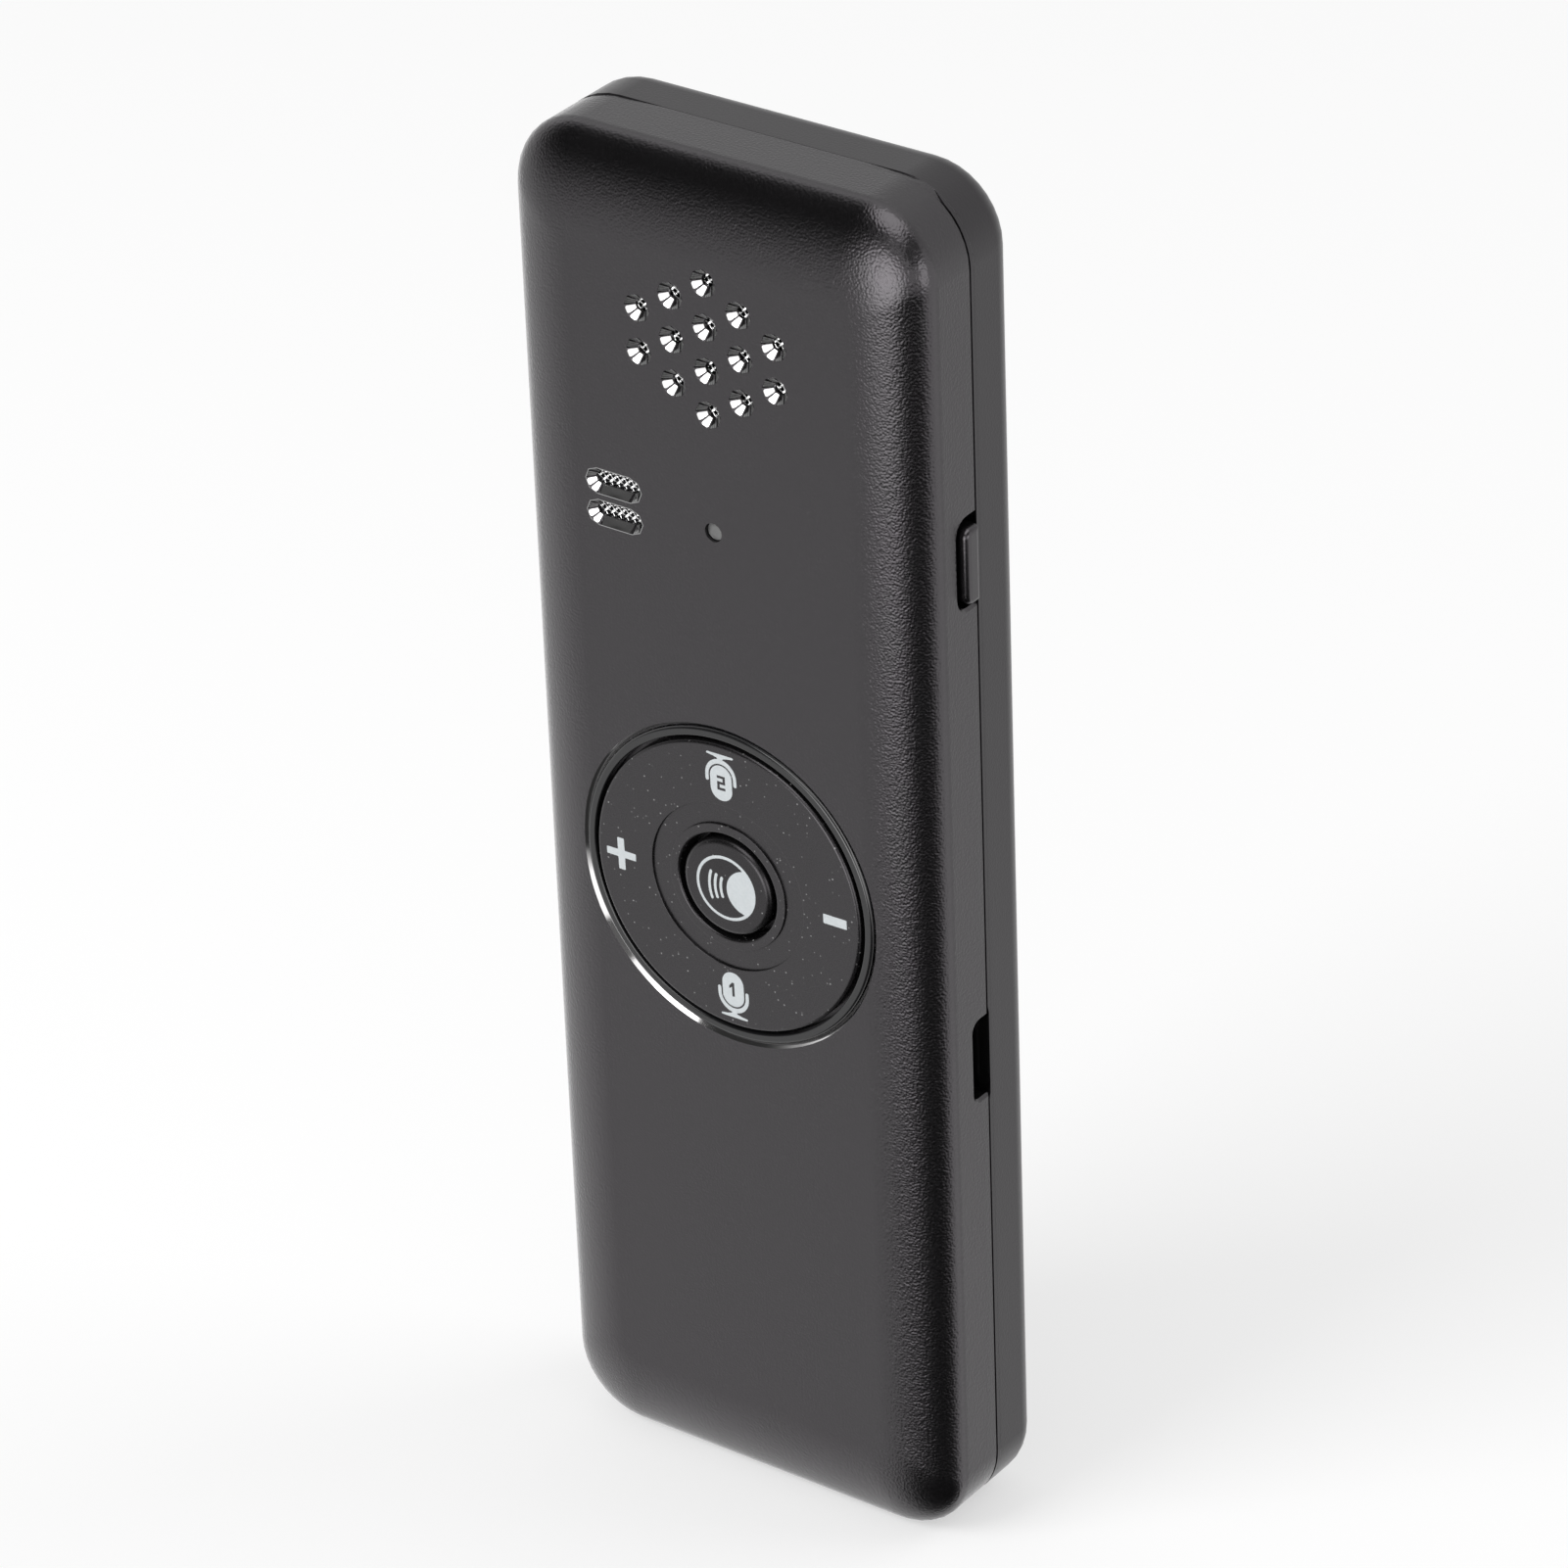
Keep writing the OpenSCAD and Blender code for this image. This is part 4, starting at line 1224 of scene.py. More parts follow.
@dataclass
class Covers:
    """The front and the rear cover.

    Attributes:
        corner: Radius of the body's corners.
        soft_side: Width of the front's soft edge along the sides.
        soft_end: Width of the front's soft edge along the ends.
        soft_depth: Depth of the front's soft edge.
        soft_tip: Corner radius of the front's flat.
        rear_edge: Radius around the back face.
        keypad_r: Radius of the keypad opening.
        keypad_chamfer: Width of the opening's chamfer.
        grille_pitch: Distance between neighbouring sound holes.
        grille_columns: Number of holes in each column.
        hole_rim: Diameter of a sound hole's countersink, over its corners.
        hole_bore: Diameter at the countersink's bottom, over its corners.
        facet_depth: Depth of the cut facets.
        slot_size: Outer length and width of a microphone slot.
        slot_bore: Width of a slot at the bottom of its countersink.
        slot_pitch: Distance between the two slots.
        lean: How far, in degrees, a face may lean from the outer form and still be part of it.
        edge_lean: The same for the broken edges beside the parting gap.
        edge_reach: How far from the gap's middle those edges may lie.
        chamfer_slope: Least and largest share of its normal that a chamfer's face has along the depth.
        chamfer_play: How far inside the opening it may begin.
    """

    corner: float = 6.6 * MM
    soft_side: float = 6.8 * MM
    soft_end: float = 8.5 * MM
    soft_depth: float = 3.5 * MM
    soft_tip: float = 1.5 * MM
    rear_edge: float = 2.5 * MM
    keypad_r: float = 14.55 * MM
    keypad_chamfer: float = 0.38 * MM
    grille_pitch: float = 3.87 * MM
    grille_columns: tuple[int, ...] = (2, 3, 4, 3, 2)
    hole_rim: float = 2.5 * MM
    hole_bore: float = 1.2 * MM
    facet_depth: float = 0.65 * MM
    slot_size: Flat = (5.57 * MM, 2.25 * MM)
    slot_bore: float = 1.15 * MM
    slot_pitch: float = 2.87 * MM
    lean: float = 16.0
    edge_lean: float = 52.0
    edge_reach: float = 0.3 * MM
    chamfer_slope: Flat = (0.5, 0.9)
    chamfer_play: float = 0.02 * MM

    def form(self, front: bool) -> SoftForm:
        """Gives the outer form of a cover.

        Args:
            front: True for the front cover, False for the rear one.

        Returns:
            Its form.
        """
        low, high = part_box("front_cover" if front else "rear_cover")
        width = high.x - low.x
        height = high.z - low.z
        if front:
            return SoftForm(width, height, self.corner, self.soft_side, self.soft_end,
                            self.soft_depth, self.soft_tip, low.y, 1)
        edge = self.rear_edge
        return SoftForm(width, height, self.corner, edge, edge, edge, self.corner - edge, high.y, -1)

    def build(self) -> None:
        """Dresses both covers."""
        front = dress_node("front_cover", COVER, BRIGHT)
        self.smooth_form(front, self.form(True))
        self.mark_chamfer(front)
        rear = dress_node("rear_cover", BACK_COVER)
        self.smooth_form(rear, self.form(False))

    def smooth_form(self, piece: bpy.types.Object, form: SoftForm) -> None:
        """Gives the outer faces the form's true normals.

        Args:
            piece: The cover.
            form: Its outer form.
        """
        mesh = piece.data
        normals = np.array([n.vector for n in mesh.corner_normals])
        least = math.cos(math.radians(self.lean))
        edge_least = math.cos(math.radians(self.edge_lean))
        for polygon in mesh.polygons:
            lean = form.normal_at(np.array(polygon.center)) @ np.array(polygon.normal)
            at_gap = abs(polygon.center.y - PARTING_Y) < self.edge_reach
            if lean < least and not (at_gap and lean > edge_least):
                continue
            for corner in polygon.loop_indices:
                point = np.array(mesh.vertices[mesh.loops[corner].vertex_index].co)
                normals[corner] = form.normal_at(point)
        set_normals(piece, normals)

    def grille_spots(self) -> list[Flat]:
        """Gives the middle of each sound hole."""
        low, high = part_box("speaker_mesh")
        x = (low.x + high.x) / 2
        z = (low.z + high.z) / 2
        pitch = self.grille_pitch * math.sin(math.radians(60))
        half = (len(self.grille_columns) - 1) / 2
        return [(x + (c - half) * pitch, z + (k - (count - 1) / 2) * self.grille_pitch)
                for c, count in enumerate(self.grille_columns) for k in range(count)]

    def slot_spots(self) -> list[Flat]:
        """Gives the middle of each microphone slot."""
        low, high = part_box("mic_mesh")
        middle = (low.z + high.z) / 2
        return [((low.x + high.x) / 2, middle + side * self.slot_pitch / 2) for side in (-1, 1)]

    def mark_chamfer(self, front: bpy.types.Object) -> None:
        """Gives the keypad opening's chamfer the bright finish.

        Args:
            front: The front cover, whose second finish is the bright one.
        """
        middle, normal = face_middles(front.data)
        ring = np.hypot(middle[:, 0], middle[:, 2] - KEYPAD_Z)
        slope = np.abs(normal[:, 1])
        near = (ring > self.keypad_r - self.chamfer_play) & (ring < self.keypad_r + self.keypad_chamfer)
        near &= (slope > self.chamfer_slope[0]) & (slope < self.chamfer_slope[1])
        near &= middle[:, 1] < FRONT_Y + self.keypad_chamfer
        front.data.polygons.foreach_set("material_index", near.astype(np.int32))
        front.data.update()


@dataclass
class Seam:
    """Fine strips in the parting gap between the covers, each a lip of the rear cover.

    The strip along the top nearly closes the gap. The other one gives the rear cover a sharp edge.

    Attributes:
        covers: The covers that meet there.
        gap: Width of the parting gap.
        broken: Width of the broken edges beside the gap.
        play: Gap that the sharp edge leaves at the front cover's rim.
        port: Middle and half length of the port's opening, and the gap that is left along it.
        sinks: Places along the top strip, from 0 to 1, and how deep it lies under the surface there.
        sharp: How deep the sharp edge lies under the surface.
        reach: Angle that the top strip goes around the left and around the right corner, in degrees.
        fade: Angle at each of its ends over which it makes room for the sharp edge, in degrees.
        turn: About the step around a corner, in degrees.
        step: About the step along a side.
    """

    covers: Covers
    gap: float = 0.25 * MM
    broken: float = 0.2 * MM
    play: float = 0.02 * MM
    port: Triple = (46.5 * MM, 4.1 * MM, 0.17 * MM)
    sinks: tuple[Flat, ...] = (
        (0.0, 0.2 * MM),
        (0.16, 0.1 * MM),
        (0.25, 0.012 * MM),
        (0.79, 0.012 * MM),
        (0.84, 0.05 * MM),
        (0.91, 0.13 * MM),
        (0.935, 0.012 * MM),
        (0.96, 0.012 * MM),
        (1.0, 0.2 * MM),
    )
    sharp: float = 0.006 * MM
    reach: Flat = (47.0, 40.0)
    fade: float = 12.0
    turn: float = 6.0
    step: float = 0.6 * MM

    def build(self) -> None:
        """Lays both strips."""
        low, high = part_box("rear_cover")
        r = self.covers.corner
        left, right, foot, head = low.x + r, high.x - r, low.z + r, high.z - r
        start, end = 90 + self.reach[0], 90 - self.reach[1]
        top = [(left, head, start), (left, head, 90), (right, head, 90), (right, head, end)]
        rest = [(right, head, end + self.fade), (right, head, 0), (right, foot, 0), (right, foot, -90),
                (left, foot, -90), (left, foot, -180), (left, head, -180),
                (left, head, start - self.fade - 360)]
        for name, rings, finish in (("seam_strip", self.closing(self.way(top)), COVER),
                                    ("sharp_edge", self.edge(self.way(rest)), BACK_COVER)):
            place(new_piece(name, *lofted(rings)), Body.HOUSING, "cover_plastic", finish)

    def share(self, angle: float) -> float:
        """Tells how much of the gap the top strip takes up.

        Args:
            angle: Direction from the middle of the outline's curve, in degrees.

        Returns:
            The share, from 0 to 1.
        """
        angle %= 360
        inside_ends = min(90 + self.reach[0] - angle, angle - 90 + self.reach[1])
        return min(1.0, max(0.0, inside_ends / self.fade))

    def way(self, knots: Sequence[Triple]) -> list[Triple]:
        """Divides a way around the outline into short steps.

        Args:
            knots: Middle of the outline's curve and direction from it in degrees, where the way bends.

        Returns:
            The same at every step.
        """
        points = [knots[0]]
        for a, b in zip(knots, knots[1:]):
            turns = round(abs(b[2] - a[2]) / self.turn)
            steps = round(math.hypot(b[0] - a[0], b[1] - a[1]) / self.step)
            count = max(1, turns, steps)
            points += [tuple(p + (q - p) * i / count for p, q in zip(a, b)) for i in range(1, count + 1)]
        return points

    def ring(self, spot: Triple, section: Sequence[Flat]) -> list[Triple]:
        """Puts a section at a place of the outline.

        Args:
            spot: Middle of the outline's curve and direction from it in degrees.
            section: The section's points, by depth under the surface and by y.

        Returns:
            The points.
        """
        x, z, angle = spot
        a = math.radians(angle)
        r = self.covers.corner
        return [(x + (r - deep) * math.cos(a), y, z + (r - deep) * math.sin(a)) for deep, y in section]

    def closing(self, way: Sequence[Triple]) -> list[list[Triple]]:
        """Gives the sections of the strip that closes the gap.

        Args:
            way: Its way around the outline.

        Returns:
            One section at every step.
        """
        front = FRONT_Y + RIM_DEPTH
        root = 2 * self.broken
        rings = []
        for i, spot in enumerate(way):
            sink = float(np.interp(i / (len(way) - 1), *zip(*self.sinks)))
            flare = self.broken - sink
            share = self.share(spot[2])
            thin = (1 - share) * self.play / 2
            back = front + share * (self.gap + flare) + thin
            inner = front + share * self.gap + thin
            rings.append(self.ring(spot, [(sink, front - flare), (sink, back), (self.broken, inner),
                                          (root, inner), (root, front), (self.broken, front)]))
        return rings

    def edge(self, way: Sequence[Triple]) -> list[list[Triple]]:
        """Gives the sections of the sharp edge.

        Args:
            way: Its way around the outline.

        Returns:
            One section at every step.
        """
        front = FRONT_Y + RIM_DEPTH
        rear = front + self.gap
        back = rear + self.broken - self.sharp
        port_z, port_half, port_gap = self.port
        rings = []
        for x, z, angle in way:
            beside_port = x > 0 and abs(angle) < 1 and abs(z - port_z) < port_half
            lip = front + (port_gap if beside_port else self.play)
            share = self.share(angle)
            inner = lip + share * (self.gap - 2 * self.play)
            lip += share * (self.gap + self.broken - 2 * self.play)
            rings.append(self.ring((x, z, angle), [(self.sharp, lip), (self.sharp, back),
                                                   (self.broken, rear), (self.broken, inner)]))
        return rings


@dataclass
class Countersinks:
    """Polished petals on the facets round the sound holes and the microphone slots.

    Attributes:
        covers: The covers that they lie in.
        facets: Facets around a hole.
        gaps: Gap between neighbouring petals, at the bore and at the rim.
        margin: What a petal leaves free at the bore and at the rim.
        corners: Radius of its corners, at the bore and at the rim.
        strips: Number of strips that a grey facet in painted shade is cut into.
        groove: Gap between those strips.
        lift: Height of its face over the facet.
        crown: How much its middle stands higher than its edges.
        line: Width of the bright line around a slot.
        grid: Spacing of a petal's inner points.
        smooth: Faces that meet at less than this angle, in degrees, shade as one.
    """

    covers: Covers
    facets: int = 8
    gaps: Flat = (0.15 * MM, 0.25 * MM)
    margin: float = 0.012 * MM
    corners: Flat = (0.05 * MM, 0.15 * MM)
    strips: int = 3
    groove: float = 0.05 * MM
    lift: float = 0.008 * MM
    crown: float = 0.004 * MM
    # line: Width of the bright line around a slot, a painted highlight of the rim's edge.
    line: float = 0.07 * MM
    grid: float = 0.16 * MM
    smooth: float = 40.0

    def build(self) -> None:
        """Lays the petals of every hole and slot."""
        step = 360 / self.facets
        around = [(k + 0.5) * step for k in range(self.facets)]
        rim, bore = self.covers.slot_size[1] / 2, self.covers.slot_bore / 2
        half = (self.covers.slot_size[0] - self.covers.slot_size[1]) / 2
        left = [(x - half, z) for x, z in self.covers.slot_spots()]
        right = [(x + half, z) for x, z in self.covers.slot_spots()]
        sizes = self.covers.hole_rim / 2, self.covers.hole_bore / 2
        holes = self.covers.grille_spots()
        bright = self.petals(holes, *sizes, around[4:6]) + self.petals(left, rim, bore, around[4:6])
        bright += self.flanks(half, rim, bore)
        # Painted shade: the upper-right facets of the holes and of the slots' right ends get the dark copy of
        # the cut metal.
        shaded_petals = self.petals(holes, *sizes, around[:2]) + self.petals(right, rim, bore, around[:2])
        # Painted shade: the upper-left, left and lower-right facets get the mid-grey copy of the cut metal.
        half_shaded_petals = self.petals(holes, *sizes, around[2:4] + around[7:], self.strips)
        half_shaded_petals += self.petals(left, rim, bore, around[2:4], self.strips)
        # Painted shade on the lower-right facets, and the painted highlight lines round the slots, in one
        # grey copy of the cut metal.
        lines = self.petals(holes, *sizes, around[6:7], self.strips)
        lines += self.petals(right, rim, bore, around[6:], self.strips) + self.rims(half, rim)
        for name, parts, finish in (("bright_petals", bright, BRIGHT), ("petals_in_painted_shade", shaded_petals, PAINTED_SHADE_CUT),
                                    ("petals_in_half_shade", half_shaded_petals, HALF_SHADE_CUT), ("rim_highlights_and_shaded_petals", lines, RIM_HIGHLIGHT_AND_SHADE)):
            piece = new_piece(name, *joined(parts), smooth_below=self.smooth)
            place(piece, Body.HOUSING, "plated_steel", finish)

    def petals(self, spots: Sequence[Flat], rim: float, bore: float, angles: Sequence[float],
               strips: int = 1) -> list[Mesh]:
        """Lays a petal at each angle round each spot.

        Args:
            spots: Middles of the holes.
            rim: Corner radius of the countersink's rim.
            bore: Corner radius at its bottom.
            angles: Directions of the facets, in degrees.
            strips: Number of strips that each petal is cut into.

        Returns:
            Points and faces of each petal.
        """
        flat = math.cos(math.pi / self.facets)
        low, high = bore * flat, rim * flat
        length = math.hypot(high - low, self.covers.facet_depth)
        wide = [math.tan(math.pi / self.facets) * r - gap / 2 for r, gap in zip((low, high), self.gaps)]
        lines = [self.trapezoid(wide[0], wide[1], length, k, strips) for k in range(strips)]
        sheets = [Sheet([line], self.grid) for line in lines]
        return [sheet.laid(self.facet(x, z, a, low, high, wide[1]), self.lift, self.lift)
                for x, z in spots for a in angles for sheet in sheets]

    def flanks(self, half: float, rim: float, bore: float) -> list[Mesh]:
        """Lays the long petals along the flanks of the slots.

        Args:
            half: Half the length of a flank.
            rim: Half the slot's width at the countersink's rim.
            bore: Half its width at the bottom.

        Returns:
            Points and faces of each petal.
        """
        length = math.hypot(rim - bore, self.covers.facet_depth)
        sheet = Sheet([self.trapezoid(half - self.gaps[0], half - self.gaps[1], length)], 2 * self.grid)
        return [sheet.laid(self.facet(x, z, a, bore, rim, half), self.lift, self.lift)
                for x, z in self.covers.slot_spots() for a in (90, 270)]

    def rims(self, half: float, rim: float) -> list[Mesh]:
        """Lays the fine bright line around each slot, a painted highlight of the rim's edge.

        Args:
            half: Half the length of a flank.
            rim: Half the slot's width at the countersink's rim.

        Returns:
            Points and faces of each line.
        """
        steps = self.facets // 2
        lines = [[*arc(half, 0, r, -90, 90, steps), *arc(-half, 0, r, 90, 270, steps)]
                 for r in (rim + self.line, rim)]
        sheet = Sheet(lines, 2 * self.grid)
        outward = Vector((0, -1, 0))

        def face(x: float, z: float) -> Surface:
            """Gives the cover's face around a slot's middle."""
            return lambda u, v: (Vector((x + u, FRONT_Y, z + v)), outward)

        return [sheet.laid(face(x, z), self.lift, 2 * self.lift) for x, z in self.covers.slot_spots()]

    def trapezoid(self, low: float, high: float, length: float, k: int = 0, strips: int = 1) -> list[Flat]:
        """Outline of one strip of a petal.

        Args:
            low: Half the petal's width at the bore.
            high: Half its width at the rim.
            length: Length of the facet.
            k: Number of the strip, from 0.
            strips: Number of strips.

        Returns:
            The outline.
        """
        left, right = 2 * k / strips - 1, 2 * (k + 1) / strips - 1
        away = self.groove / 2 if strips > 1 else 0.0
        small, large = (r / strips for r in self.corners)
        top = length - self.margin
        return rounded([(left * low + away, self.margin, small), (right * low - away, self.margin, small),
                        (right * high - away, top, large), (left * high + away, top, large)])

    def facet(self, x: float, z: float, angle: float, low: float, high: float, wide: float) -> Surface:
        """Gives the surface of one facet.

        Args:
            x: Place of the hole's axis across.
            z: Height of the axis.
            angle: Direction of the facet from the axis, in degrees.
            low: Distance of the facet from the axis at the bore.
            high: Distance at the rim.
            wide: Half the width over which the petal's crown runs out.

        Returns:
            A function from the sheet's point to the place and the normal.
        """
        a = math.radians(angle)
        out = Vector((math.cos(a), 0, math.sin(a)))
        aside = Vector((-math.sin(a), 0, math.cos(a)))
        deep = self.covers.facet_depth
        length = math.hypot(high - low, deep)
        normal = (-out * deep - Vector((0, high - low, 0))).normalized()
        axis = Vector((x, FRONT_Y, z))

        def spot(u: float, v: float) -> tuple[Vector, Vector]:
            """Places a point of the petal.

            Args:
                u: How far it lies across the facet, from its middle line.
                v: How far it lies up the slope.

            Returns:
                The place and the normal there.
            """
            t = v / length
            foot = axis + out * (low + (high - low) * t) + aside * u + Vector((0, deep * (1 - t), 0))
            rise = self.crown * max(0.0, 1 - (u / wide) ** 2) - self.crown / 2
            return foot + normal * rise, normal

        return spot


# ------------------------------------------------------------------ woven mesh


@dataclass
class WovenMesh:
    """Woven wire cloth behind the sound holes and the slots, laid at a slant.

    Attributes:
        pitch: Distance between neighbouring wires.
        widths: Width of the flattened wires, along the slant and across it.
        thick: Thickness of the wires.
        wave: How far a wire swings to either side of the cloth's middle.
        slant: Angle of the wires, in degrees.
        section: Corners of a wire's flattened section, as shares of its half width and thickness.
        steps: Steps along a wire for each wire that it crosses.
    """

    pitch: float = 0.5 * MM
    widths: Flat = (0.21 * MM, 0.12 * MM)
    thick: float = 0.09 * MM
    wave: float = 0.042 * MM
    slant: float = 45.0
    section: tuple[Flat, ...] = ((1, -0.4), (1, 0.4), (0.6, 1), (-0.6, 1),
                                 (-1, 0.4), (-1, -0.4), (-0.6, -1), (0.6, -1))
    steps: int = 4

    def build(self) -> None:
        """Weaves both cloths in place of their plain sheets."""
        low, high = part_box("speaker_mesh")
        radius = (high.x - low.x) / 2
        self.weave("woven_speaker_mesh", "speaker_mesh",
                   lambda u, v: math.hypot(u, v) < radius - self.pitch / 4)
        low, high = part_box("mic_mesh")
        half_x = (high.x - low.x) / 2 - self.pitch / 4
        half_z = (high.z - low.z) / 2 - self.pitch / 4
        self.weave("woven_mic_mesh", "mic_mesh",
                   lambda u, v: abs(u) < half_x and abs(v) < half_z)

    def weave(self, name: str, node: str, within: Callable[[float, float], bool]) -> None:
        """Weaves one cloth.

        Args:
            name: The cloth's name.
            node: The CAD sheet that it stands for.
            within: Says whether a point, from the cloth's middle, lies on the cloth.
        """
        low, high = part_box(node)
        middle = (low + high) / 2
        reach = math.hypot(high.x - low.x, high.z - low.z) / 2
        count = int(reach / self.pitch) + 1
        step = self.pitch / self.steps
        parts = []
        for family in (0, 1):
            angle = math.radians(self.slant + 90 * family)
            along = Vector((math.cos(angle), math.sin(angle)))
            aside = Vector((-along.y, along.x))
            for k in range(-count, count + 1):
                run = []
                for i in range(-count * self.steps, count * self.steps + 1):
                    t = i * step
                    spot = along * t + aside * (k * self.pitch)
                    swing = math.sin(math.pi / 2 * math.cos(math.pi * (t / self.pitch + k + family)))
                    if within(spot.x, spot.y):
                        run.append((middle.x + spot.x, middle.y + self.wave * swing, middle.z + spot.y))
                if len(run) > self.steps:
                    parts.append(self.strand(run, Vector((aside.x, 0, aside.y)) * self.widths[family] / 2))
        cloth = new_piece(name, *joined(parts))
        place(cloth, Body.HOUSING, "woven_mesh", WIRE)
        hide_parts(node)

    def strand(self, run: Sequence[Triple], half: Vector) -> Mesh:
        """Sweeps the wire's section along a run of points.

        Args:
            run: The points.
            half: Half the wire's width, across the run.

        Returns:
            Points and faces.
        """
        ahead = Vector((0, 1, 0))
        offsets = [half * u + ahead * (self.thick / 2 * v) for u, v in self.section]
        return lofted([[(x + o.x, y + o.y, z + o.z) for o in offsets] for x, y, z in run])


# ------------------------------------------------------------------ keypad


@dataclass
class Keypad:
    """Gloss bezel ring, rocker disc and centre button, with their printed marks.

    The radii count from the keypad's middle, and the depths from the front face.

    Attributes:
        bezel_in: Inner radius of the ring.
        bezel_break: Radius of its inner edge.
        bezel_top: Radius where its face begins to round off.
        bezel_neck: Radius of the ring in the cover's opening.
        bezel_flange: Radius of its flange behind the cover.
        bezel_lip: Radius of the flange's bore.
        wall: Depth of the step behind the ring's bore.
        seat: Depth of the flange's front.
        flange: Thickness of the flanges.
        disc_flange: Radius and depth of the disc's flange.
        hub: Radius and depth of its hub.
        post_x: Distance of its two posts from the middle.
        post_r: Radius of a post.
        post_sunk: How deep its root lies in the disc.
        disc: Radius of the disc.
        disc_edge: Radius of its outer edge.
        disc_proud: How far it stands out of the front face.
        disc_bore: Radius of its bore.
        bore_edge: Radius of the bore's edge.
        groove: Inner and outer radius of the ring groove.
        groove_depth: Depth of the groove.
        groove_edge: Radius of its edges.
        button: Radius of the centre button.
        button_edge: Radius of its edge.
        button_proud: How far its middle stands out of the front face.
        button_crown: How much its middle stands higher than its rim.
        crown_slope: Slope of its face at the rim, in degrees.
        button_flange: Radius, front and back of its flange.
        plunger_r: Radius of the plunger behind it.
        face_steps: Steps from its middle to its rim.
        around: Steps around the ring and the disc.
        button_around: Steps around the button.
        post_around: Steps around a post.
    """

    bezel_in: float = 13.72 * MM
    bezel_break: float = 0.12 * MM
    bezel_top: float = 14.26 * MM
    bezel_neck: float = 14.5 * MM
    bezel_flange: float = 15.6 * MM
    bezel_lip: float = 14.3 * MM
    wall: float = 0.9 * MM
    seat: float = 0.95 * MM
    flange: float = 0.5 * MM
    disc_flange: Flat = (14.05 * MM, 1.39 * MM)
    hub: Flat = (6.2 * MM, 1.49 * MM)
    post_x: float = 9.5 * MM
    post_r: float = 1.2 * MM
    post_sunk: float = 0.225 * MM
    disc: float = 13.37 * MM
    disc_edge: float = 0.3 * MM
    disc_proud: float = 0.15 * MM
    disc_bore: float = 4.95 * MM
    bore_edge: float = 0.2 * MM
    groove: Flat = (5.85 * MM, 7.7 * MM)
    groove_depth: float = 0.2 * MM
    groove_edge: float = 0.05 * MM
    button: float = 4.45 * MM
    button_edge: float = 0.5 * MM
    button_proud: float = 0.37 * MM
    button_crown: float = 0.08 * MM
    crown_slope: float = 3.0
    button_flange: Triple = (5.4 * MM, 1.94 * MM, 2.29 * MM)
    plunger_r: float = 1.5 * MM
    face_steps: int = 8
    around: int = 200
    button_around: int = 128
    post_around: int = 32

    def build(self) -> None:
        """Builds the keypad's pieces and marks."""
        self.bezel()
        self.rocker()
        self.centre_button()
        dress_node("keypad_mat", RUBBER)
        Marks(self).build()

    def bezel(self) -> None:
        """Turns the gloss ring."""
        inner = self.bezel_in + self.bezel_break
        slope = self.bezel_neck - self.bezel_top
        profile = [
            *arc(inner, self.bezel_break, self.bezel_break, 180, 270, 4),
            *arc(self.bezel_top, slope, slope, 270, 360, 7),
            (self.bezel_neck, self.seat),
            (self.bezel_flange, self.seat),
            (self.bezel_flange, self.seat + self.flange),
            (self.bezel_lip, self.seat + self.flange),
            (self.bezel_lip, self.wall),
            (self.bezel_in, self.wall),
        ]
        ring = new_piece("bezel_ring", *turned(profile, 0, KEYPAD_Z, self.around))
        place(ring, Body.HOUSING, "gloss_ring", GLOSS)
        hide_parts("keypad_bezel")

    def rocker(self) -> None:
        """Turns the rocker disc with its ring groove, and adds the two posts behind it."""
        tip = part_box("nav_disc")[1].y - FRONT_Y
        flange_r, flange_y = self.disc_flange
        back = flange_y + self.flange
        top = -self.disc_proud
        edge = self.groove_edge
        inner, outer = self.groove
        floor = top + self.groove_depth
        profile = [
            *arc(self.disc_bore + self.bore_edge, top + self.bore_edge, self.bore_edge, 180, 270, 5),
            *arc(inner - edge, top + edge, edge, 270, 360, 3),
            (inner, floor),
            (outer, floor),
            *arc(outer + edge, top + edge, edge, 180, 270, 3),
            *arc(self.disc - self.disc_edge, top + self.disc_edge, self.disc_edge, 270, 360, 8),
            (self.disc, flange_y),
            (flange_r, flange_y),
            (flange_r, back),
            (self.hub[0], back),
            self.hub,
            (self.disc_bore, self.hub[1]),
        ]
        root = back - self.post_sunk
        post = [(0, root), (self.post_r, root), (self.post_r, tip), (0, tip)]
        parts = [turned(profile, 0, KEYPAD_Z, self.around)]
        parts += [turned(post, side * self.post_x, KEYPAD_Z, self.post_around) for side in (-1, 1)]
        disc = new_piece("rocker_disc", *joined(parts))
        place(disc, Body.ROCKER, "keypad_plastic", DISC)
        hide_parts("nav_disc")

    def centre_button(self) -> None:
        """Turns the crowned centre button."""
        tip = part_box("centre_button")[1].y - FRONT_Y
        rim = -self.button_proud + self.button_crown
        face_r = self.button - self.button_edge
        radii = [face_r * i / self.face_steps for i in range(self.face_steps)]
        flange_r, flange_y, flange_back = self.button_flange
        profile = [
            *((r, self.face_depth(r)) for r in radii),
            *arc(face_r, rim + self.button_edge, self.button_edge, 270 + self.crown_slope, 360, 9),
            (self.button, flange_y),
            (flange_r, flange_y),
            (flange_r, flange_back),
            (self.plunger_r, flange_back),
            (self.plunger_r, tip),
            (0, tip),
        ]
        key = new_piece("centre_key", *turned(profile, 0, KEYPAD_Z, self.button_around))
        place(key, Body.BUTTON, "button_plastic", BUTTON)
        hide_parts("centre_button")

    def face_depth(self, r: float) -> float:
        """Gives the depth of the button's crowned face at a radius."""
        face_r = self.button - self.button_edge
        return -self.button_proud + self.button_crown * (r / face_r) ** 2


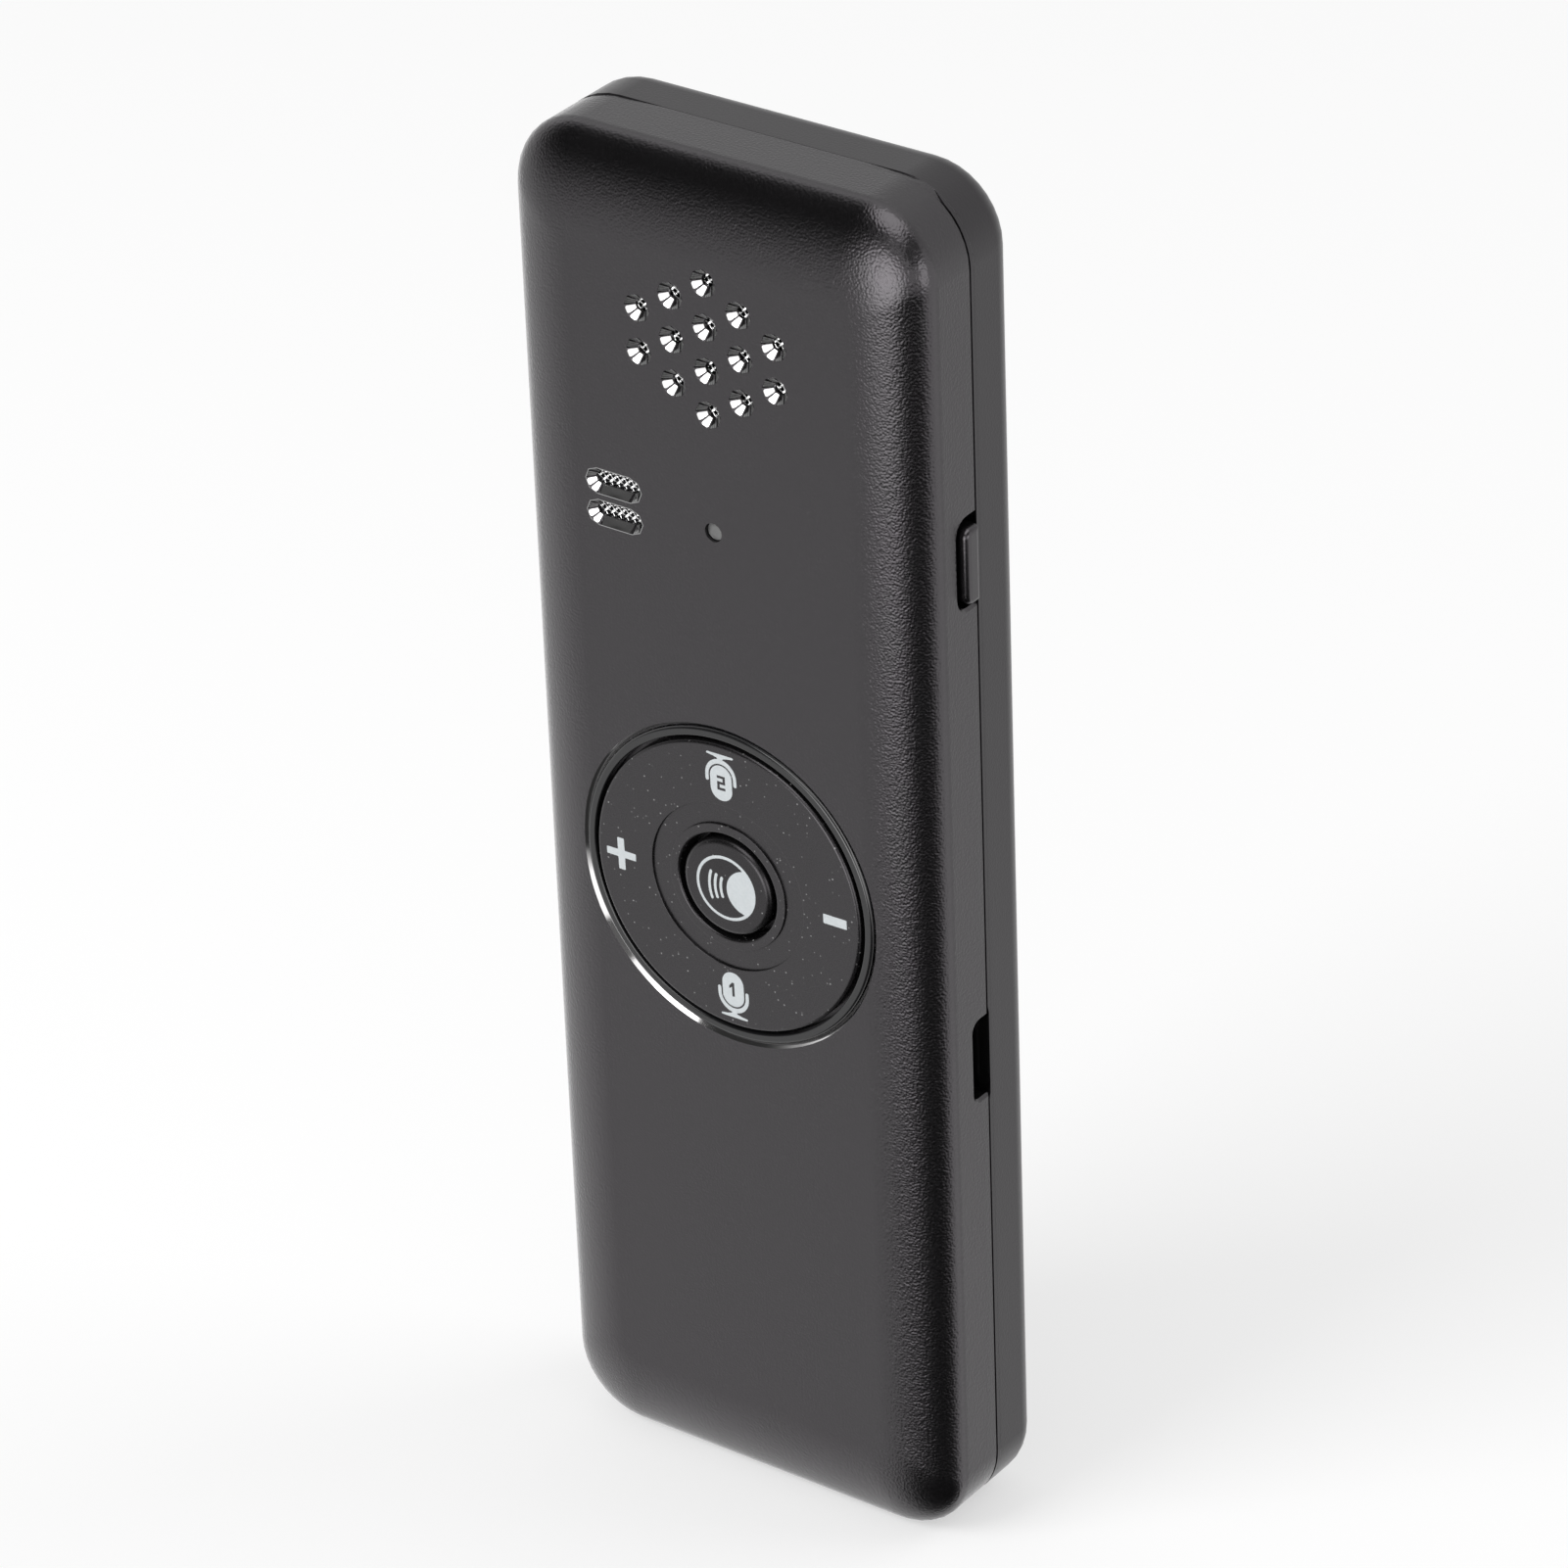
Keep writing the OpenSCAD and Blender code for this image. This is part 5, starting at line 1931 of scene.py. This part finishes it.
@dataclass
class Marks:
    """The printed marks: plus, minus, two microphones and the centre sign.

    Places count from the keypad's middle, across and up.

    Attributes:
        keypad: The keypad that carries them.
        plus_x: Place of the plus.
        plus_span: Length of its bars.
        plus_stroke: Width of its bars.
        minus_x: Place of the minus.
        minus_size: Its length and width.
        corner: Radius of the corners of both.
        head_r: Radius of a microphone's head.
        head_half: Half the length of the head's straight part.
        head_end: Distance of the head's end from the middle.
        cup_gap: Gap between the head and its cup.
        cup_stroke: Width of the cup's arms.
        cup_swell: How much wider the cup is at its top.
        cup_arm: Length of the cup's straight arms.
        neck: Half the neck's width.
        flare: Shares of the neck's half width and rise at which the foot begins to spread.
        spread: Shares of the foot's half width and rise at which it has spread.
        foot: Half width, thickness and rise of the foot.
        numeral: Width, height and stroke of a numeral.
        sign_r: Outer radius of the centre sign.
        sign_stroke: Width of its lines.
        around: Steps around it.
        dome: Distance of the dome's middle from the sign's, and its radius.
        waves: Radii of the waves around the dome's middle.
        wave_half: Half the angle of a wave, in degrees.
        turn: Angle by which all marks are turned, in degrees.
        lift: Height of the print over the face.
        sink: Depth of its back under the face.
        grid: Spacing of its inner points.
    """

    keypad: Keypad
    plus_x: float = -10.9 * MM
    plus_span: float = 3.0 * MM
    plus_stroke: float = 0.68 * MM
    minus_x: float = 10.9 * MM
    minus_size: Flat = (2.35 * MM, 0.88 * MM)
    corner: float = 0.08 * MM
    head_r: float = 1.09 * MM
    head_half: float = 0.55 * MM
    head_end: float = 8.2 * MM
    cup_gap: float = 0.15 * MM
    cup_stroke: float = 0.33 * MM
    cup_swell: float = 0.1 * MM
    cup_arm: float = 0.45 * MM
    neck: float = 0.25 * MM
    flare: Flat = (1.2, 0.25)
    spread: Flat = (0.55, 0.45)
    foot: Triple = (1.25 * MM, 0.2 * MM, 0.5 * MM)
    numeral: Triple = (0.82 * MM, 1.35 * MM, 0.25 * MM)
    sign_r: float = 3.0 * MM
    sign_stroke: float = 0.27 * MM
    around: int = 120
    dome: Flat = (2.2 * MM, 2.1 * MM)
    waves: tuple[float, ...] = (2.7 * MM, 3.28 * MM, 3.86 * MM)
    wave_half: float = 19.0
    turn: float = 1.0
    lift: float = 0.014 * MM
    sink: float = 0.03 * MM
    grid: float = 0.4 * MM

    def build(self) -> None:
        """Prints every mark."""
        s = self.plus_stroke / 2
        half = self.plus_span / 2
        plus = [(-half, -s), (-s, -s), (-s, -half), (s, -half), (s, -s), (half, -s),
                (half, s), (s, s), (s, half), (-s, half), (-s, s), (-half, s)]
        w, h = (v / 2 for v in self.minus_size)
        minus = [(-w, -h), (w, -h), (w, h), (-w, h)]
        self.on_disc("plus_mark", [self.shape(plus, self.plus_x)])
        self.on_disc("minus_mark", [self.shape(minus, self.minus_x)])
        self.on_disc("upper_mic_mark", self.microphone(1, self.two()))
        self.on_disc("lower_mic_mark", self.microphone(-1, self.one()))
        self.printed("centre_sign", self.sign(), self.keypad.face_depth, Body.BUTTON, "button_plastic")

    def shape(self, corners: Sequence[Flat], x: float) -> list[Flat]:
        """Rounds an outline's corners a little and moves it across."""
        return rounded([(u + x, v, self.corner) for u, v in corners], 3)

    def one(self) -> list[Flat]:
        """Outline of a plain numeral one, around its middle."""
        w, h, s = self.numeral
        return [(u, v - h / 2) for u, v in
                [(-s / 2, 0), (s / 2, 0), (s / 2, h), (-s / 3, h), (-w / 2, h - 1.5 * s),
                 (-w / 2, h - 2.6 * s), (-s / 2, h - 1.7 * s)]]

    def two(self) -> list[Flat]:
        """Outline of a plain numeral two, around its middle."""
        w, h, s = self.numeral
        low, high = (h - s) / 2, (h + s) / 2
        return [(u - w / 2, v - h / 2) for u, v in
                [(0, 0), (w, 0), (w, s), (s, s), (s, low), (w, low), (w, h),
                 (0, h), (0, h - s), (w - s, h - s), (w - s, high), (0, high)]]

    def microphone(self, way: int, numeral: Sequence[Flat]) -> list[list[Flat]]:
        """Draws a microphone whose head points to the keypad's middle.

        Args:
            way: 1 for the mark above the middle, -1 for the one below it.
            numeral: Outline that is left free in its head.

        Returns:
            The mark's outlines.
        """
        r = self.head_r
        low = self.head_end + r
        high = low + 2 * self.head_half
        middle = (low + high) / 2
        head = [*arc(0, low, r, 180, 360, 16), *arc(0, high, r, 0, 180, 16)]
        digit = [(-u, middle - v) for u, v in numeral]
        inner = r + self.cup_gap
        outer = inner + self.cup_stroke
        top = outer + self.cup_swell
        arm = high - self.cup_arm
        half, thick, rise = self.foot
        neck_z = high + math.sqrt(top ** 2 - self.neck ** 2)
        side = [
            (inner, arm),
            *arc((inner + outer) / 2, arm, self.cup_stroke / 2, 180, 360, 4)[1:],
            *self.swelling(high, outer, top),
            (self.neck, neck_z),
            (self.neck * self.flare[0], neck_z + rise * self.flare[1]),
            (half * self.spread[0], neck_z + rise * self.spread[1]),
            *arc(half, neck_z + rise - thick / 2, thick / 2, -60, 90, 5),
        ]
        cup = [*arc(0, high, inner, 180, 0, 20), *side, *((-u, v) for u, v in reversed(side))]
        return [[(u * way, v * way) for u, v in line] for line in (head, digit, cup)]

    @staticmethod
    def swelling(z: float, r: float, top_r: float, end: float = 80.0, steps: int = 12) -> list[Flat]:
        """Points of the cup's outer edge, whose radius grows towards its top.

        Args:
            z: Height of the cup's middle.
            r: Radius at its side.
            top_r: Radius at its top.
            end: Angle at which the edge ends, in degrees.
            steps: Number of steps.

        Returns:
            The points.
        """
        angles = (end * i / steps for i in range(steps + 1))
        return [polar(0, z, r + (top_r - r) * math.sin(math.radians(a)) ** 2, a) for a in angles]

    def sign(self) -> list[list[Flat]]:
        """Draws a ring with a dome at its right and sound waves that leave the dome."""
        inner = self.sign_r - self.sign_stroke
        x, r = self.dome
        meet = (inner ** 2 - r ** 2 + x ** 2) / (2 * x)
        height = math.sqrt(inner ** 2 - meet ** 2)
        at_ring = math.degrees(math.atan2(height, meet))
        at_dome = math.degrees(math.atan2(height, meet - x))
        opening = [*arc(0, 0, inner, at_ring, 360 - at_ring, 70),
                   *arc(x, 0, r, 360 - at_dome, at_dome, 40)[1:-1]]
        waves = [band(x, 0, wave, self.sign_stroke, 180 - self.wave_half, 180 + self.wave_half)
                 for wave in self.waves]
        rim = arc(0, 0, self.sign_r, 0, 360, self.around)[:-1]
        return [rim, opening, *waves]

    def on_disc(self, name: str, lines: list) -> None:
        """Prints a mark on the disc's flat face."""
        self.printed(name, lines, lambda r: -self.keypad.disc_proud, Body.ROCKER, "keypad_plastic")

    def printed(self, name: str, lines: list, depth: Callable[[float], float], body: Body,
                slot: str) -> None:
        """Makes a thin printed layer that follows a turned face.

        Args:
            name: The mark's name.
            lines: Its outlines.
            depth: Gives the depth of the face at a radius.
            body: The body that carries it.
            slot: The record's slot of the face.
        """
        c = math.cos(math.radians(self.turn))
        s = math.sin(math.radians(self.turn))
        lines = [[(u * c - v * s, u * s + v * c) for u, v in line] for line in lines]
        outward = Vector((0, -1, 0))

        def spot(u: float, v: float) -> tuple[Vector, Vector]:
            """Places a point of the mark on the face."""
            return Vector((u, FRONT_Y + depth(math.hypot(u, v)), KEYPAD_Z + v)), outward

        mark = new_piece(name, *Sheet(lines, self.grid).laid(spot, self.lift, self.sink))
        place(mark, body, slot, INK)


# ------------------------------------------------------------------ side pieces and inside


@dataclass
class PowerKey:
    """The power key in the right side, with the switch that it presses.

    Attributes:
        size: Its width along the depth, and its length.
        corners: Radius of its outline's corners, at the front and at the rear.
        crest: Radius around its outer face.
        flange: Thickness of the flange that holds it in, and how far it reaches beyond the key.
        nub: Width, length and reach of the nub that presses the switch.
        least: Smallest radius of a corner.
        guard: How far the outer face's first ring lies inside its edge.
        steps: Steps around the crest and around a corner.
    """

    size: Flat = (1.8 * MM, 6.9 * MM)
    corners: Flat = (0.85 * MM, 0.3 * MM)
    crest: float = 0.5 * MM
    flange: Flat = (0.4 * MM, 0.5 * MM)
    nub: Triple = (1.0 * MM, 2.0 * MM, 0.4 * MM)
    least: float = 0.06 * MM
    guard: float = 0.02 * MM
    steps: int = 8

    def build(self) -> None:
        """Builds the key and dresses its switch."""
        low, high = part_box("power_key")
        thick, length = self.size
        flange_x = low.x + self.nub[2]
        flange_t, reach = self.flange
        rings = [self.ring(flange_x + flange_t / 2, thick, length, 0)]
        for i in range(self.steps + 1):
            a = math.radians(90 * i / self.steps)
            inset = self.crest * (1 - math.cos(a))
            rings.append(self.ring(high.x - self.crest * (1 - math.sin(a)), thick, length, inset))
        rings.append(self.ring(high.x, thick, length, self.crest + self.guard))
        flange = [self.ring(x, thick + 2 * reach, length + 2 * reach, 0)
                  for x in (flange_x, flange_x + flange_t)]
        nub = [self.ring(x, self.nub[0], self.nub[1], 0) for x in (low.x, flange_x + flange_t / 2)]
        key = new_piece("side_key", *joined([lofted(rings), lofted(flange), lofted(nub)]))
        place(key, Body.SIDE_KEY, "cover_plastic", KEY_COAT)
        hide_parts("power_key")
        dress_node("side_switch", NICKEL)

    def ring(self, x: float, thick: float, length: float, inset: float) -> list[Triple]:
        """Gives the key's rounded outline.

        Args:
            x: Its place across.
            thick: Its width along the depth.
            length: Its length.
            inset: How far it is drawn in.

        Returns:
            The outline's points.
        """
        low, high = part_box("power_key")
        y = (low.y + high.y) / 2
        z = (low.z + high.z) / 2
        a = thick / 2 - inset
        b = length / 2 - inset
        front, rear = (max(r - inset, self.least) for r in self.corners)
        line = rounded([(-a, -b, front), (a, -b, rear), (a, b, rear), (-a, b, front)], self.steps)
        return [(x, y + u, z + v) for u, v in line]


@dataclass
class ChargingPort:
    """The charging receptacle: steel shell, tongue and its five contacts.

    Attributes:
        contacts: Number of contact strips.
        pitch: Distance between them.
        strip: Width of a strip, and how far it stands out of the tongue.
        sunk: How deep it lies in the tongue.
        ends: What it leaves free at the tongue's root and at its tip.
        bend: Length of its bent tip, and how far that is bent down.
    """

    contacts: int = 5
    pitch: float = 0.65 * MM
    strip: Flat = (0.38 * MM, 0.08 * MM)
    sunk: float = 0.05 * MM
    ends: Flat = (1.0 * MM, 0.15 * MM)
    bend: Flat = (0.3 * MM, 0.06 * MM)

    def build(self) -> None:
        """Dresses the receptacle and lays its contacts."""
        dress_node("usb_shell", NICKEL)
        dress_node("usb_tongue", BLACK)
        low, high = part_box("usb_tongue")
        first = (low.z + high.z) / 2 - (self.contacts - 1) / 2 * self.pitch
        parts = [self.contact(low, high, first + k * self.pitch) for k in range(self.contacts)]
        strips = new_piece("port_contacts", *joined(parts))
        place(strips, Body.HOUSING, "plated_steel", GOLD)

    def contact(self, low: Vector, high: Vector, z: float) -> Mesh:
        """Makes one strip along the tongue's front face, with its tip bent down.

        Args:
            low: The tongue's lowest corner.
            high: Its highest corner.
            z: Height of the strip's middle.

        Returns:
            Points and faces.
        """
        width, proud = self.strip
        tip = high.x - self.ends[1]
        back = low.y + self.sunk
        foot, head = z - width / 2, z + width / 2
        rings = []
        for x, down in ((low.x + self.ends[0], 0.0), (tip - self.bend[0], 0.0), (tip, self.bend[1])):
            front = low.y - proud + down
            rings.append([(x, front, foot), (x, back, foot), (x, back, head), (x, front, head)])
        return lofted(rings)


@dataclass
class Inside:
    """Everything behind the covers.

    Attributes:
        dressed: Each finish and the pieces that have it.
    """

    dressed: tuple[tuple[Finish, tuple[str, ...]], ...] = (
        (NICKEL, ("speaker_magnet", "microphone_upper", "microphone_lower", "switch_up", "switch_down",
                  "switch_left", "switch_right", "switch_centre", "shield_can")),
        (BLACK, ("speaker_basket", "memory_chip")),
        (WHITE, ("led_chip", "battery_connector", "antenna")),
        (FOAM, ("speaker_gasket", "foam_pad")),
        (MILKY, ("led_light_pipe",)),
        (CONE, ("speaker_cone",)),
        (RUBBER, ("mic_boot",)),
        (LACQUER, ("main_board",)),
        (FOIL, ("battery_cell",)),
        (TAPE, ("battery_tape",)),
        (ZINC, ("board_screws",)),
    )

    def build(self) -> None:
        """Dresses each inner piece."""
        for finish, nodes in self.dressed:
            for node in nodes:
                dress_node(node, finish)


def main() -> None:
    """Builds the studio and the translator's pieces in order."""
    logging.basicConfig(level=logging.INFO, format="%(name)s: %(message)s")
    covers = Covers()
    parts = (Studio(), covers, Seam(covers), Countersinks(covers), WovenMesh(), Keypad(), PowerKey(),
             ChargingPort(), Inside())
    for part in parts:
        part.build()
        LOG.info("built %s", type(part).__name__)


if __name__ == "__main__":
    main()
